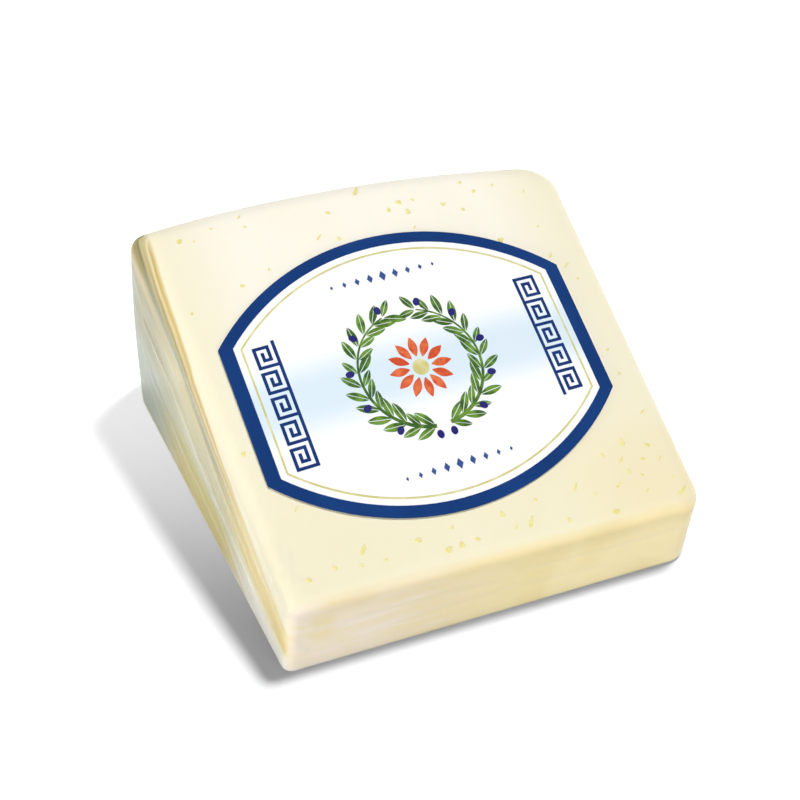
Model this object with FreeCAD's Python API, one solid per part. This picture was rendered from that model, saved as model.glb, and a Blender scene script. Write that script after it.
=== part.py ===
import FreeCAD, Part
import math
import os

os.makedirs("parts", exist_ok=True)

# A portion of a hard cheese, sealed in shrink film, with a paper label on its top.
# It is a slice of a wheel that lies on one cut face. The wheel's axis runs along X,
# its thin tip is cut off square at the front (-Y), and its rim stands at the back (+Y).
# Lengths are in millimetres and angles in degrees.

# The slice
DEPTH = 102.4            # tip face to rim, along the base
TIP_WIDTH = 100.0        # left to right at the tip
RIM_WIDTH = 107.2        # left to right at the rim: the right end splays outwards
TIP_HEIGHT = 19.3        # at mid width
WEDGE_ANGLE = 19.1       # between the two cut faces
TIP_LEAN = 0.9           # how far the foot of the tip face is set back
RIM_BULGE = 4.1          # how far the rim swells at mid width
CROWN = 1.4              # how far the upper cut face swells at its middle
TIP_TUCK = 0.65          # how far the foot of the left end is tucked in at the tip
RIM_TUCK = 4.5           # and at the rim
SIDE_FALL = 0.088        # share of its height that the upper face loses from left to right

# Rounded edges under the tight film
LEFT_SHOULDER_RADIUS = 5.4   # where the rim turns into the wheel's flat left end
RIGHT_SHOULDER_RADIUS = 8.0
LEFT_TIP_RADIUS = 4.4
RIGHT_TIP_RADIUS = 5.6
TOP_RADIUS = 4.0
BASE_RADIUS = 1.2

# The film
FILM_PROUD = 0.7         # height of the largest pleat
FILM_ROOT = 0.5          # how deep a pleat is rooted in the pack
SEAL_LENGTH = 66.0       # the bag's heat seal, folded flat on the right end
SEAL_WIDTH = 6.0
SEAL_THICK = 0.4

# The label: a barrel outline, straight at the sides and arched above and below
LABEL_WIDTH = 85.5
LABEL_SIDE = 33.4        # length of a straight side
LABEL_ARCH = 18.0        # rise of each arch
LABEL_THICK = 0.2
LABEL_OFF_X = -0.3       # its middle, from the middle of the tip's width
LABEL_UP_SLOPE = 46.4    # its middle, up the slope from the tip's upper edge
LABEL_TURN = 2.4         # it is stuck on slightly askew
LABEL_SKEW = 5.0         # and its sides lean to the right

# Worked out from the dimensions above
SLOPE = math.tan(math.radians(WEDGE_ANGLE))
TIP_Y = -DEPTH / 2
AXIS_Y = TIP_Y - TIP_HEIGHT / SLOPE
WHEEL_RADIUS = DEPTH / 2 - AXIS_Y
RIM_TOP_Y = AXIS_Y + WHEEL_RADIUS * math.cos(math.radians(WEDGE_ANGLE))
LEFT_X = -TIP_WIDTH / 2
SPLAY = (RIM_WIDTH - TIP_WIDTH) / DEPTH
SPARE = 12.0             # how far cutting shapes reach past what they cut
PLEAT_MARGIN = 10.0      # how far a pleat on an end stops short of the end's edges

X_AXIS = FreeCAD.Vector(1, 0, 0)
Z_AXIS = FreeCAD.Vector(0, 0, 1)


def right_x(y):
    """X of the splayed right end at a place along the depth."""
    return TIP_WIDTH / 2 + SPLAY * (y - TIP_Y)


def left_x(y, z):
    """X of the left end, whose foot is tucked in."""
    tuck = TIP_TUCK + (RIM_TUCK - TIP_TUCK) * (y - TIP_Y) / DEPTH
    return LEFT_X + tuck * (1 - z / ((y - AXIS_Y) * SLOPE))


def tip_y(z):
    """Y of the leaning tip face at a height."""
    return TIP_Y + TIP_LEAN * (1 - z / TIP_HEIGHT)


def top_height(x, y):
    """Height of the crowned upper cut face, which falls a little to the right."""
    across = 2 * x / TIP_WIDTH
    middle = (TIP_Y + RIM_TOP_Y) / 2
    along = (y - middle) / (RIM_TOP_Y - middle)
    plane = (y - AXIS_Y) * SLOPE * (1 - SIDE_FALL * x / TIP_WIDTH)
    return plane + CROWN * (1 - across ** 2) * (1 - along ** 2)


def rim_y(x):
    """Y of the rim's foot, which swells in an arc at its middle."""
    end_y = DEPTH / 2 - RIM_BULGE
    half = (right_x(end_y) - LEFT_X) / 2
    radius = (half ** 2 + RIM_BULGE ** 2) / (2 * RIM_BULGE)
    return DEPTH / 2 - radius + math.sqrt(radius ** 2 - (x - LEFT_X - half) ** 2)


def wheel_slice():
    """The wheel's rim and ends, turned about its axis, past the upper cut and the left end."""
    inner_y = TIP_Y - SPARE
    end_y = DEPTH / 2 - RIM_BULGE
    outer_x = LEFT_X - SPARE
    foot = FreeCAD.Vector(outer_x, inner_y, 0)
    left = FreeCAD.Vector(outer_x, rim_y(outer_x), 0)
    crest = FreeCAD.Vector((LEFT_X + right_x(end_y)) / 2, DEPTH / 2, 0)
    right = FreeCAD.Vector(right_x(end_y), end_y, 0)
    heel = FreeCAD.Vector(right_x(inner_y), inner_y, 0)
    outline = Part.Wire([
        Part.LineSegment(foot, left).toShape(),
        Part.Arc(left, crest, right).toShape(),
        Part.LineSegment(right, heel).toShape(),
        Part.LineSegment(heel, foot).toShape(),
    ])
    axis_point = FreeCAD.Vector(0, AXIS_Y, 0)
    return Part.Face(outline).revolve(axis_point, X_AXIS, 1.5 * WEDGE_ANGLE)


def left_end_cutter():
    """The block outside the left end, whose face runs straight from foot to upper edge."""
    lines = []
    for share in (-0.3, 2.0):  # of the height: below the base and above the upper face
        ends = []
        for y in (TIP_Y - SPARE, DEPTH / 2 + SPARE):
            z = share * (y - AXIS_Y) * SLOPE
            ends.append(FreeCAD.Vector(left_x(y, z), y, z))
        lines.append(Part.LineSegment(ends[0], ends[1]).toShape())
    return Part.makeRuledSurface(lines[0], lines[1]).extrude(FreeCAD.Vector(-3 * SPARE, 0, 0))


def tip_cutter():
    """The block in front of the leaning tip face."""
    reach = RIM_WIDTH + 2 * SPARE
    tall = 3 * TIP_HEIGHT
    block = Part.makeBox(reach, DEPTH, tall, FreeCAD.Vector(-reach / 2, -DEPTH, -TIP_HEIGHT))
    lean = math.degrees(math.atan2(TIP_LEAN, TIP_HEIGHT))
    block.rotate(FreeCAD.Vector(0, 0, 0), X_AXIS, lean)
    block.translate(FreeCAD.Vector(0, tip_y(0), 0))
    return block


def crowned_face():
    """The upper cut face as one smooth surface, wider than the slice on every side."""
    steps = 6
    west, east = LEFT_X - SPARE, right_x(DEPTH / 2) + SPARE
    south, north = TIP_Y - SPARE, DEPTH / 2 + SPARE
    grid = []
    for i in range(steps + 1):
        x = west + (east - west) * i / steps
        column = []
        for j in range(steps + 1):
            y = south + (north - south) * j / steps
            column.append(FreeCAD.Vector(x, y, top_height(x, y)))
        grid.append(column)
    surface = Part.BSplineSurface()
    surface.interpolate(grid)
    return surface.toShape()


def upright_edges(shape, side):
    """The edges at the tip face that stand upright on one side: -1 is left, 1 is right."""
    return [edge for edge in shape.Edges
            if edge.BoundBox.ZLength > TIP_HEIGHT
            and edge.BoundBox.YMax < TIP_Y + TIP_LEAN * 4
            and edge.CenterOfMass.x * side > TIP_WIDTH / 4]


def shoulder_edges(shape, side):
    """The edges where the rim meets the wheel's flat ends: -1 is left, 1 is right."""
    end_y = AXIS_Y + (WHEEL_RADIUS - RIM_BULGE) * math.cos(math.radians(WEDGE_ANGLE))
    return [edge for edge in shape.Edges
            if edge.BoundBox.ZLength > TIP_HEIGHT
            and edge.BoundBox.YMax > end_y
            and edge.CenterOfMass.x * side > TIP_WIDTH / 4]


def on_top(edge):
    """Whether an edge lies all along the upper cut face."""
    for share in (0.1, 0.5, 0.9):
        point = edge.valueAt(edge.FirstParameter + share * (edge.LastParameter - edge.FirstParameter))
        if abs(point.z - top_height(point.x, point.y)) > 0.05:
            return False
    return True


def rounded_slice():
    """The slice with its shoulders, tip corners, upper rim and base rounded."""
    body = wheel_slice().cut(tip_cutter()).cut(left_end_cutter())
    body = body.makeFillet(LEFT_SHOULDER_RADIUS, shoulder_edges(body, -1))
    body = body.makeFillet(RIGHT_SHOULDER_RADIUS, shoulder_edges(body, 1))
    body = body.makeFillet(LEFT_TIP_RADIUS, upright_edges(body, -1))
    body = body.makeFillet(RIGHT_TIP_RADIUS, upright_edges(body, 1))
    body = body.cut(crowned_face().extrude(FreeCAD.Vector(0, 0, DEPTH)))
    body = body.makeFillet(TOP_RADIUS, [edge for edge in body.Edges if on_top(edge)])
    lower = [edge for edge in body.Edges if edge.BoundBox.ZMax < 0.01]
    return body.makeFillet(BASE_RADIUS, lower)


def on_left_end(along, up, out):
    """A point on the left end: along the depth, up, and out from the surface."""
    return FreeCAD.Vector(left_x(along, up) - out, along, up)


def on_right_end(along, up, out):
    """A point on the right end: along the depth, up, and out from the surface."""
    return FreeCAD.Vector(right_x(along) + out, along, up)


def on_tip(along, up, out):
    """A point on the tip face: along the width, up, and out from the surface."""
    return FreeCAD.Vector(along, tip_y(up) - out, up)


def pleat(place, start, end, bow, width, proud):
    """A fold of film that lies over to one side and dies away at both ends.

    place turns (along, up, out) into a point on the face that carries the pleat. start
    and end are (along, up), and bow is how far the middle strays from their line.
    """
    run, rise = end[0] - start[0], end[1] - start[1]
    length = math.hypot(run, rise)
    side = (-rise / length, run / length)

    def station(share, across, out):
        stray = bow * math.sin(math.pi * share) + across
        along = start[0] + run * share + side[0] * stray
        up = start[1] + rise * share + side[1] * stray
        return place(along, up, out)

    sections = [Part.Vertex(station(0, 0, -FILM_ROOT))]
    for share in (0.12, 0.31, 0.5, 0.69, 0.88):
        swell = math.sin(math.pi * share)
        sections.append(Part.makePolygon([
            station(share, -width * swell / 2, -FILM_ROOT),
            station(share, width * swell / 2, -FILM_ROOT),
            station(share, width * swell / 4, proud * swell),
            station(share, -width * swell / 2, -FILM_ROOT),
        ]))
    sections.append(Part.Vertex(station(1, 0, -FILM_ROOT)))
    return Part.makeLoft(sections, True)


def end_pleats(place, count, first_share, last_share):
    """A fan of pleats down one end, from the high back towards the foot of the tip.

    The shares are those of the end's height at which the first and last pleats start.
    """
    pleats = []
    for i in range(count):
        step = i / (count - 1)
        share = first_share + (last_share - first_share) * step
        back = RIM_TOP_Y - PLEAT_MARGIN * (1 + 0.6 * step)
        front = TIP_Y + PLEAT_MARGIN * (0.9 + i % 2)
        start = (back, share * top_height(0, back))
        end = (front, (0.82 * share - 0.06) * top_height(0, front))
        proud = FILM_PROUD * (1 - 0.3 * (i % 2))
        pleats.append(pleat(place, start, end, 1.5 - 2.5 * step, 5.0 - step, proud))
    return pleats


def tip_gathers():
    """Long shallow wrinkles across the tip face."""
    gathers = []
    for i, (left, right, share) in enumerate(((-43, -4, 0.62), (-30, 24, 0.38), (2, 40, 0.66))):
        start = (left, share * TIP_HEIGHT)
        end = (right, share * TIP_HEIGHT)
        gathers.append(pleat(on_tip, start, end, 0.6 - 0.6 * i, 2.6, FILM_PROUD / 2))
    return gathers


def heat_seal():
    """The bag's sealed mouth: a thin strip with round ends, flat on the right end."""
    radius = SEAL_WIDTH / 2
    half = SEAL_LENGTH / 2 - radius
    strip = Part.Wire([
        Part.LineSegment(FreeCAD.Vector(-half, -radius, 0), FreeCAD.Vector(half, -radius, 0)).toShape(),
        Part.Arc(FreeCAD.Vector(half, -radius, 0), FreeCAD.Vector(half + radius, 0, 0),
                 FreeCAD.Vector(half, radius, 0)).toShape(),
        Part.LineSegment(FreeCAD.Vector(half, radius, 0), FreeCAD.Vector(-half, radius, 0)).toShape(),
        Part.Arc(FreeCAD.Vector(-half, radius, 0), FreeCAD.Vector(-half - radius, 0, 0),
                 FreeCAD.Vector(-half, -radius, 0)).toShape(),
    ])
    seal = Part.Face(strip).extrude(FreeCAD.Vector(0, 0, FILM_ROOT + SEAL_THICK))
    along = FreeCAD.Vector(SPLAY, 1, 0).normalize()
    tilt = math.radians(WEDGE_ANGLE / 2)
    run = along * math.cos(tilt) + Z_AXIS * math.sin(tilt)
    out = along.cross(Z_AXIS)
    up = out.cross(run)
    middle = on_right_end(-2, top_height(0, -2) / 2, -FILM_ROOT)
    turn = FreeCAD.Matrix(run.x, up.x, out.x, middle.x, run.y, up.y, out.y, middle.y,
                          run.z, up.z, out.z, middle.z, 0, 0, 0, 1)
    seal.Placement = FreeCAD.Placement(turn)
    return seal


def sealed_pack():
    """The cheese and the film drawn tight over it, with the heat seal and the pleats."""
    pack = rounded_slice().fuse(heat_seal())
    pack = pack.fuse(end_pleats(on_right_end, 4, 0.86, 0.22))
    pack = pack.fuse(end_pleats(on_left_end, 5, 0.93, 0.26))
    pack = pack.fuse(tip_gathers())
    return pack.removeSplitter()


def label_edge(start, middle, end):
    """An arched edge of the label through three points, leaning as its sides do."""
    arc = Part.Arc(*(FreeCAD.Vector(x, y, 0) for x, y in (start, middle, end))).toShape()
    lean = math.tan(math.radians(LABEL_SKEW))
    curve = Part.BSplineCurve()
    curve.interpolate([FreeCAD.Vector(point.x + lean * point.y, point.y, 0) for point in arc.discretize(9)])
    return curve.toShape()


def label_outline():
    """The label's barrel outline, flat, with its middle at the origin."""
    half, side = LABEL_WIDTH / 2, LABEL_SIDE / 2
    arch = side + LABEL_ARCH
    lower = label_edge((-half, -side), (0, -arch), (half, -side))
    upper = label_edge((half, side), (0, arch), (-half, side))
    return Part.Wire([
        lower,
        Part.LineSegment(lower.Vertexes[-1].Point, upper.Vertexes[0].Point).toShape(),
        upper,
        Part.LineSegment(upper.Vertexes[-1].Point, lower.Vertexes[0].Point).toShape(),
    ])


def label():
    """The paper label, cut from a thin skin that follows the crown it is stuck to."""
    prism = Part.Face(label_outline()).extrude(FreeCAD.Vector(0, 0, 2 * SPARE))
    prism.translate(FreeCAD.Vector(0, 0, -SPARE))
    prism.rotate(FreeCAD.Vector(0, 0, 0), Z_AXIS, LABEL_TURN)
    prism.rotate(FreeCAD.Vector(0, 0, 0), X_AXIS, WEDGE_ANGLE)
    middle_y = TIP_Y + LABEL_UP_SLOPE * math.cos(math.radians(WEDGE_ANGLE))
    prism.translate(FreeCAD.Vector(LABEL_OFF_X, middle_y, top_height(LABEL_OFF_X, middle_y)))
    tilt = math.radians(WEDGE_ANGLE)
    outward = FreeCAD.Vector(0, -math.sin(tilt), math.cos(tilt))
    skin = crowned_face().extrude(outward * LABEL_THICK)
    return prism.common(skin)


def main():
    """Build both pieces, stand them on the middle of the whole's base and write them."""
    pieces = {"cheese_pack": sealed_pack(), "label": label()}
    box = Part.makeCompound(list(pieces.values())).optimalBoundingBox()
    for name, shape in pieces.items():
        shape.translate(FreeCAD.Vector(-box.Center.x, -box.Center.y, -box.ZMin))
        shape.exportStep("parts/" + name + ".step")
        print(name, "valid", shape.isValid(), "solids", len(shape.Solids), "volume", round(shape.Volume, 1))
    print("box", round(box.XLength, 2), round(box.YLength, 2), round(box.ZLength, 2))
    print("moved by", round(-box.Center.x, 3), round(-box.Center.y, 3), round(-box.ZMin, 3))


main()
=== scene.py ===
"""Looks of a portion of hard cheese, sealed in shrink film under a paper label."""

import logging
import math
import random
from dataclasses import dataclass, field
from enum import Enum
from typing import Callable, Sequence

import bmesh
import bpy
from mathutils import Matrix, Vector


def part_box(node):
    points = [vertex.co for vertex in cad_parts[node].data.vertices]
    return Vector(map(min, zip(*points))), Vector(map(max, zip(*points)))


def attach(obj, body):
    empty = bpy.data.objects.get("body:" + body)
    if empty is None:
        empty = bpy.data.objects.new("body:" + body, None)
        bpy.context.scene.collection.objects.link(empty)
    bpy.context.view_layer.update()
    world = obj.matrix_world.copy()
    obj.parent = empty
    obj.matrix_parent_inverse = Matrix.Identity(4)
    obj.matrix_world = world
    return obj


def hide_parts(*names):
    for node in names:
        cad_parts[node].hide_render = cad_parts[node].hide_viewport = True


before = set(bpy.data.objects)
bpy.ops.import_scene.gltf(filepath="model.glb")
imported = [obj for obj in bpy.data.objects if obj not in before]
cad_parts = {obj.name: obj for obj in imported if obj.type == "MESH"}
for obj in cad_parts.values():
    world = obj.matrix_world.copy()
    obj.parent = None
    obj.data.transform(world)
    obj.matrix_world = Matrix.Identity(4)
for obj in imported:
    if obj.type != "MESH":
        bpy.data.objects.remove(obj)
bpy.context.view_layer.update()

log = logging.getLogger("cheese")

MM = 0.001
BODY = "root"
PACK = "cheese_pack"
LABEL = "label"
FIBRES = 1400.0
FIBRE_DEPTH = 0.02 * MM
Colour = tuple[float, float, float]
Point = tuple[float, float]


def linear(red: int, green: int, blue: int) -> Colour:
    """Turn a colour on the usual 0 to 255 scale into linear light.

    Args:
        red: Red share.
        green: Green share.
        blue: Blue share.

    Returns:
        The three linear values.
    """
    shares = []
    for value in (red, green, blue):
        share = value / 255
        shares.append(share / 12.92 if share <= 0.04045 else ((share + 0.055) / 1.055) ** 2.4)
    return shares[0], shares[1], shares[2]


# --------------------------------------------------------------------------------------
# Node trees
# --------------------------------------------------------------------------------------


class Value:
    """A number that varies over a shape: a socket of a node tree, with plain arithmetic."""

    def __init__(self, tree: bpy.types.NodeTree, socket: bpy.types.NodeSocket) -> None:
        """Wrap a socket.

        Args:
            tree: The tree that the socket belongs to.
            socket: The output socket that carries the number.
        """
        self.tree = tree
        self.socket = socket

    def math(self, operation: str, *others: "Value | float", clamp: bool = False) -> "Value":
        """Add a math node that starts from this number.

        Args:
            operation: The math node's operation.
            others: The operation's further numbers.
            clamp: Whether the result is kept between 0 and 1.

        Returns:
            The result.
        """
        node = self.tree.nodes.new("ShaderNodeMath")
        node.operation = operation
        node.use_clamp = clamp
        for slot, value in zip(node.inputs, (self, *others)):
            feed(self.tree, slot, value)
        return Value(self.tree, node.outputs[0])

    def __add__(self, other: "Value | float") -> "Value":
        """Sum."""
        return self.math("ADD", other)

    __radd__ = __add__

    def __sub__(self, other: "Value | float") -> "Value":
        """Difference."""
        return self.math("SUBTRACT", other)

    def __rsub__(self, other: float) -> "Value":
        """Difference from a plain number."""
        return self.math("MULTIPLY_ADD", -1.0, other)

    def __mul__(self, other: "Value | float") -> "Value":
        """Product."""
        return self.math("MULTIPLY", other)

    __rmul__ = __mul__

    def __truediv__(self, other: "Value | float") -> "Value":
        """Quotient."""
        return self.math("DIVIDE", other)

    def above(self, limit: "Value | float") -> "Value":
        """1 where the number is above a limit, and 0 elsewhere."""
        return self.math("GREATER_THAN", limit)

    def ramp(self, low: float, high: float) -> "Value":
        """Rise smoothly from 0 to 1 between two numbers.

        Args:
            low: Where the rise starts.
            high: Where it ends. It may lie under low, and then the result falls.

        Returns:
            The smooth share.
        """
        node = self.tree.nodes.new("ShaderNodeMapRange")
        node.interpolation_type = "SMOOTHSTEP"
        for slot, value in zip(node.inputs, (self, low, high, 0.0, 1.0)):
            feed(self.tree, slot, value)
        return Value(self.tree, node.outputs[0])


def feed(tree: bpy.types.NodeTree, slot: bpy.types.NodeSocket, value: object) -> None:
    """Link a varying value to a slot, or set a plain one on it.

    Args:
        tree: The tree that holds the slot.
        slot: The input socket.
        value: A Value, a socket or a plain setting.
    """
    if isinstance(value, Value):
        tree.links.new(value.socket, slot)
    elif isinstance(value, bpy.types.NodeSocket):
        tree.links.new(value, slot)
    else:
        slot.default_value = value


def seen_share(tree: bpy.types.NodeTree) -> Value:
    """1 for rays from the camera, a gloss or a clear body, and 0 for all others."""
    path = tree.nodes.new("ShaderNodeLightPath")
    seen = Value(tree, path.outputs["Is Camera Ray"])
    for kind in ("Is Glossy Ray", "Is Transmission Ray"):
        seen = seen.math("MAXIMUM", Value(tree, path.outputs[kind]))
    return seen


def put(name: str, data: bpy.types.ID) -> bpy.types.Object:
    """Add an object with some data to the scene."""
    thing = bpy.data.objects.new(name, data)
    bpy.context.scene.collection.objects.link(thing)
    return thing


def closed(name: str, mesh: bmesh.types.BMesh) -> bpy.types.Mesh:
    """Turn a mesh under construction into a finished one."""
    data = bpy.data.meshes.new(name)
    mesh.to_mesh(data)
    mesh.free()
    return data


def choose(test: Value, yes: "Value | float", no: "Value | float") -> Value:
    """Pick one of two numbers by a test that is 0 or 1.

    Args:
        test: The test.
        yes: The number where the test is 1.
        no: The number where it is 0.

    Returns:
        The picked number.
    """
    return test * yes + (1 - test) * no


class Growth:
    """A geometry node tree with named inputs, run once to leave a plain mesh."""

    def __init__(self, name: str) -> None:
        """Start an empty tree.

        Args:
            name: The tree's name.
        """
        self.tree = bpy.data.node_groups.new(name, "GeometryNodeTree")
        self.tree.interface.new_socket("Geometry", in_out="OUTPUT", socket_type="NodeSocketGeometry")
        self.source = self.tree.nodes.new("NodeGroupInput")
        self.result = self.tree.nodes.new("NodeGroupOutput")
        self.settings: dict[str, object] = {}

    def size(self, name: str, value: float) -> Value:
        """Add a named number to the tree's inputs.

        Args:
            name: The input's name.
            value: What it is set to when the tree runs.

        Returns:
            The number, for use in the tree.
        """
        item = self.tree.interface.new_socket(name, in_out="INPUT", socket_type="NodeSocketFloat")
        self.settings[item.identifier] = float(value)
        return Value(self.tree, self.source.outputs[name])

    def count(self, name: str, value: int) -> bpy.types.NodeSocket:
        """Add a named whole number to the tree's inputs and return its socket."""
        item = self.tree.interface.new_socket(name, in_out="INPUT", socket_type="NodeSocketInt")
        self.settings[item.identifier] = int(value)
        return self.source.outputs[name]

    def thing(self, name: str, value: bpy.types.Object) -> bpy.types.NodeSocket:
        """Add a named object to the tree's inputs and return the geometry it holds."""
        item = self.tree.interface.new_socket(name, in_out="INPUT", socket_type="NodeSocketObject")
        self.settings[item.identifier] = value
        info = self.node("GeometryNodeObjectInfo", Object=self.source.outputs[name])
        return info.outputs["Geometry"]

    def node(self, kind: str, settings: dict[str, object] | None = None, **slots: object) -> bpy.types.Node:
        """Add a node.

        Args:
            kind: The node's type.
            settings: Properties to set on it before its slots are filled.
            slots: Input names, with a low line for a space, and what goes into them.

        Returns:
            The node.
        """
        node = self.tree.nodes.new(kind)
        for name, value in (settings or {}).items():
            setattr(node, name, value)
        for name, value in slots.items():
            enabled = [slot for slot in node.inputs if slot.name == name.replace("_", " ") and slot.enabled]
            feed(self.tree, enabled[0], value)
        return node

    def vector(self, x: "Value | float", y: "Value | float", z: "Value | float") -> bpy.types.NodeSocket:
        """Join three numbers into a vector."""
        return self.node("ShaderNodeCombineXYZ", X=x, Y=y, Z=z).outputs[0]

    def parts(self, vector: bpy.types.NodeSocket) -> tuple[Value, Value, Value]:
        """Split a vector into its three numbers."""
        node = self.node("ShaderNodeSeparateXYZ", Vector=vector)
        across, along, up = (Value(self.tree, out) for out in node.outputs)
        return across, along, up

    def along_normal(self, distance: Value) -> bpy.types.NodeSocket:
        """A step of some length, square to the surface."""
        normal = self.node("GeometryNodeInputNormal").outputs[0]
        step = self.node("ShaderNodeVectorMath", {"operation": "SCALE"}, Vector=normal, Scale=distance)
        return step.outputs[0]

    def stored(self, name: str) -> bpy.types.NodeSocket:
        """A vector that was stored on the geometry."""
        kind = {"data_type": "FLOAT_VECTOR"}
        return self.node("GeometryNodeInputNamedAttribute", kind, Name=name).outputs[0]

    def draw(self, low: float, high: float, seed: int) -> Value:
        """A random number for each point, the same on every run."""
        node = self.node("FunctionNodeRandomValue", {"data_type": "FLOAT"}, Min=low, Max=high, Seed=seed)
        return Value(self.tree, [out for out in node.outputs if out.enabled][0])

    def noise(self, place: bpy.types.NodeSocket, scale: float, detail: float) -> Value:
        """A smooth noise pattern, from 0 to 1."""
        node = self.node("ShaderNodeTexNoise", Vector=place, Scale=scale, Detail=detail)
        return Value(self.tree, node.outputs[0])

    def run(self, name: str, geometry: bpy.types.NodeSocket, finish: bpy.types.Material,
            smooth: bool = False) -> bpy.types.Object:
        """Close the tree with realized instances and a material, run it and keep a plain mesh.

        Args:
            name: The new object's name.
            geometry: The geometry that the tree has made.
            finish: The material of all its faces.
            smooth: Whether its faces are shaded smooth.

        Returns:
            An object at the origin, with no modifier left on it.
        """
        real = self.node("GeometryNodeRealizeInstances", Geometry=geometry)
        dressed = self.node("GeometryNodeSetMaterial", Geometry=real.outputs[0], Material=finish)
        self.tree.links.new(dressed.outputs[0], self.result.inputs[0])
        piece = put(name, bpy.data.meshes.new(name))
        modifier = piece.modifiers.new("growth", "NODES")
        modifier.node_group = self.tree
        for identifier, value in self.settings.items():
            modifier[identifier] = value
        grown = piece.evaluated_get(bpy.context.evaluated_depsgraph_get())
        mesh = bpy.data.meshes.new_from_object(grown)
        piece.modifiers.remove(modifier)
        piece.data = mesh
        mesh.name = name
        if smooth:
            mesh.shade_smooth()
        return piece


class Paint:
    """A material under construction, with short calls for the nodes that finishes share."""

    def __init__(self, name: str) -> None:
        """Start an empty material.

        Args:
            name: The material's name.
        """
        self.material = bpy.data.materials.new(name)
        self.material.use_nodes = True
        self.tree = self.material.node_tree
        self.tree.nodes.clear()
        self.out = self.tree.nodes.new("ShaderNodeOutputMaterial")
        self.place = self.node("ShaderNodeTexCoord").outputs["Object"]

    def node(self, kind: str, settings: dict[str, object] | None = None, **slots: object) -> bpy.types.Node:
        """Add a node.

        Args:
            kind: The node's type.
            settings: Properties to set on it before its slots are filled.
            slots: Input names, with a low line for a space, and what goes into them.

        Returns:
            The node.
        """
        node = self.tree.nodes.new(kind)
        for name, value in (settings or {}).items():
            setattr(node, name, value)
        for name, value in slots.items():
            feed(self.tree, node.inputs[name.replace("_", " ")], value)
        return node

    def attribute(self, name: str) -> tuple[Value, Value, Value]:
        """Read a stored vector of the mesh as three numbers."""
        stored = self.node("ShaderNodeAttribute", {"attribute_name": name})
        split = self.node("ShaderNodeSeparateXYZ", Vector=stored.outputs["Vector"])
        first, second, third = (Value(self.tree, out) for out in split.outputs)
        return first, second, third

    def noise(self, scale: float, detail: float = 2.0, vector: object = None, **slots: float) -> Value:
        """Add a noise pattern.

        Args:
            scale: Waves in each metre, or in each unit of the vector.
            detail: How many finer layers it has.
            vector: What it is laid out on: the object's own place if left out.
            slots: Further settings of the noise.

        Returns:
            The noise, from 0 to 1.
        """
        laid = self.place if vector is None else vector
        node = self.node("ShaderNodeTexNoise", Vector=laid, Scale=scale, Detail=detail, **slots)
        return Value(self.tree, node.outputs[0])

    def vector(self, x: "Value | float", y: "Value | float", z: "Value | float") -> bpy.types.NodeSocket:
        """Join three numbers into a vector."""
        return self.node("ShaderNodeCombineXYZ", X=x, Y=y, Z=z).outputs[0]

    def mix(self, share: "Value | float", first: object, second: object) -> bpy.types.NodeSocket:
        """Blend two colours.

        Args:
            share: How much of the second colour there is.
            first: A colour or a colour socket.
            second: A colour or a colour socket.

        Returns:
            The blended colour.
        """
        node = self.tree.nodes.new("ShaderNodeMix")
        node.data_type = "RGBA"
        feed(self.tree, node.inputs[0], share)
        for slot, colour in ((node.inputs[6], first), (node.inputs[7], second)):
            feed(self.tree, slot, (*colour, 1.0) if isinstance(colour, tuple) else colour)
        return node.outputs[2]

    def bands(self, share: Value, stops: Sequence[tuple[float, Colour]]) -> bpy.types.NodeSocket:
        """Turn a number into a colour through a row of colour stops.

        Args:
            share: The number, from 0 to 1.
            stops: Places along it, each with its colour.

        Returns:
            The colour.
        """
        node = self.node("ShaderNodeValToRGB", Fac=share)
        elements = node.color_ramp.elements
        while len(elements) < len(stops):
            elements.new(0.5)
        for element, (place, colour) in zip(elements, stops):
            element.position = place
        for element, (place, colour) in zip(elements, stops):
            element.color = (*colour, 1.0)
        return node.outputs[0]

    def bump(self, height: Value, distance: float, strength: float = 1.0) -> bpy.types.NodeSocket:
        """Turn a height into a bumped normal.

        Args:
            height: The height, from 0 to 1.
            distance: What a height of 1 is, in metres.
            strength: How much of it shows.

        Returns:
            The normal.
        """
        node = self.node("ShaderNodeBump", Strength=strength, Distance=distance, Height=height)
        return node.outputs[0]

    def surface(self, **slots: object) -> bpy.types.Node:
        """Add a principled shader, with a low line in its slots' names for a space."""
        return self.node("ShaderNodeBsdfPrincipled", **slots)

    def blend(self, share: Value, first: bpy.types.Node, second: bpy.types.Node) -> bpy.types.Node:
        """Blend two shaders, with more of the second one where the share is high."""
        both = self.node("ShaderNodeMixShader", Fac=share)
        for slot, shader in zip(both.inputs[1:], (first, second)):
            self.tree.links.new(shader.outputs[0], slot)
        return both

    def printed(self, colour: bpy.types.NodeSocket, roughness: float, **slots: object) -> bpy.types.Material:
        """Close the material as ink on coated paper.

        Args:
            colour: The ink's colour.
            roughness: Its least roughness.
            slots: Further settings of the shader.

        Returns:
            The material.
        """
        fibre = self.noise(FIBRES, 2.0)
        relief = self.bump(fibre, FIBRE_DEPTH, 0.25)
        shader = self.surface(Base_Color=colour, Roughness=fibre * 0.1 + roughness, Normal=relief, **slots)
        return self.close(shader.outputs[0])

    def close(self, shader: bpy.types.NodeSocket) -> bpy.types.Material:
        """Send a shader to the output and return the material."""
        self.tree.links.new(shader, self.out.inputs["Surface"])
        return self.material


# --------------------------------------------------------------------------------------
# Finishes
# --------------------------------------------------------------------------------------


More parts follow.
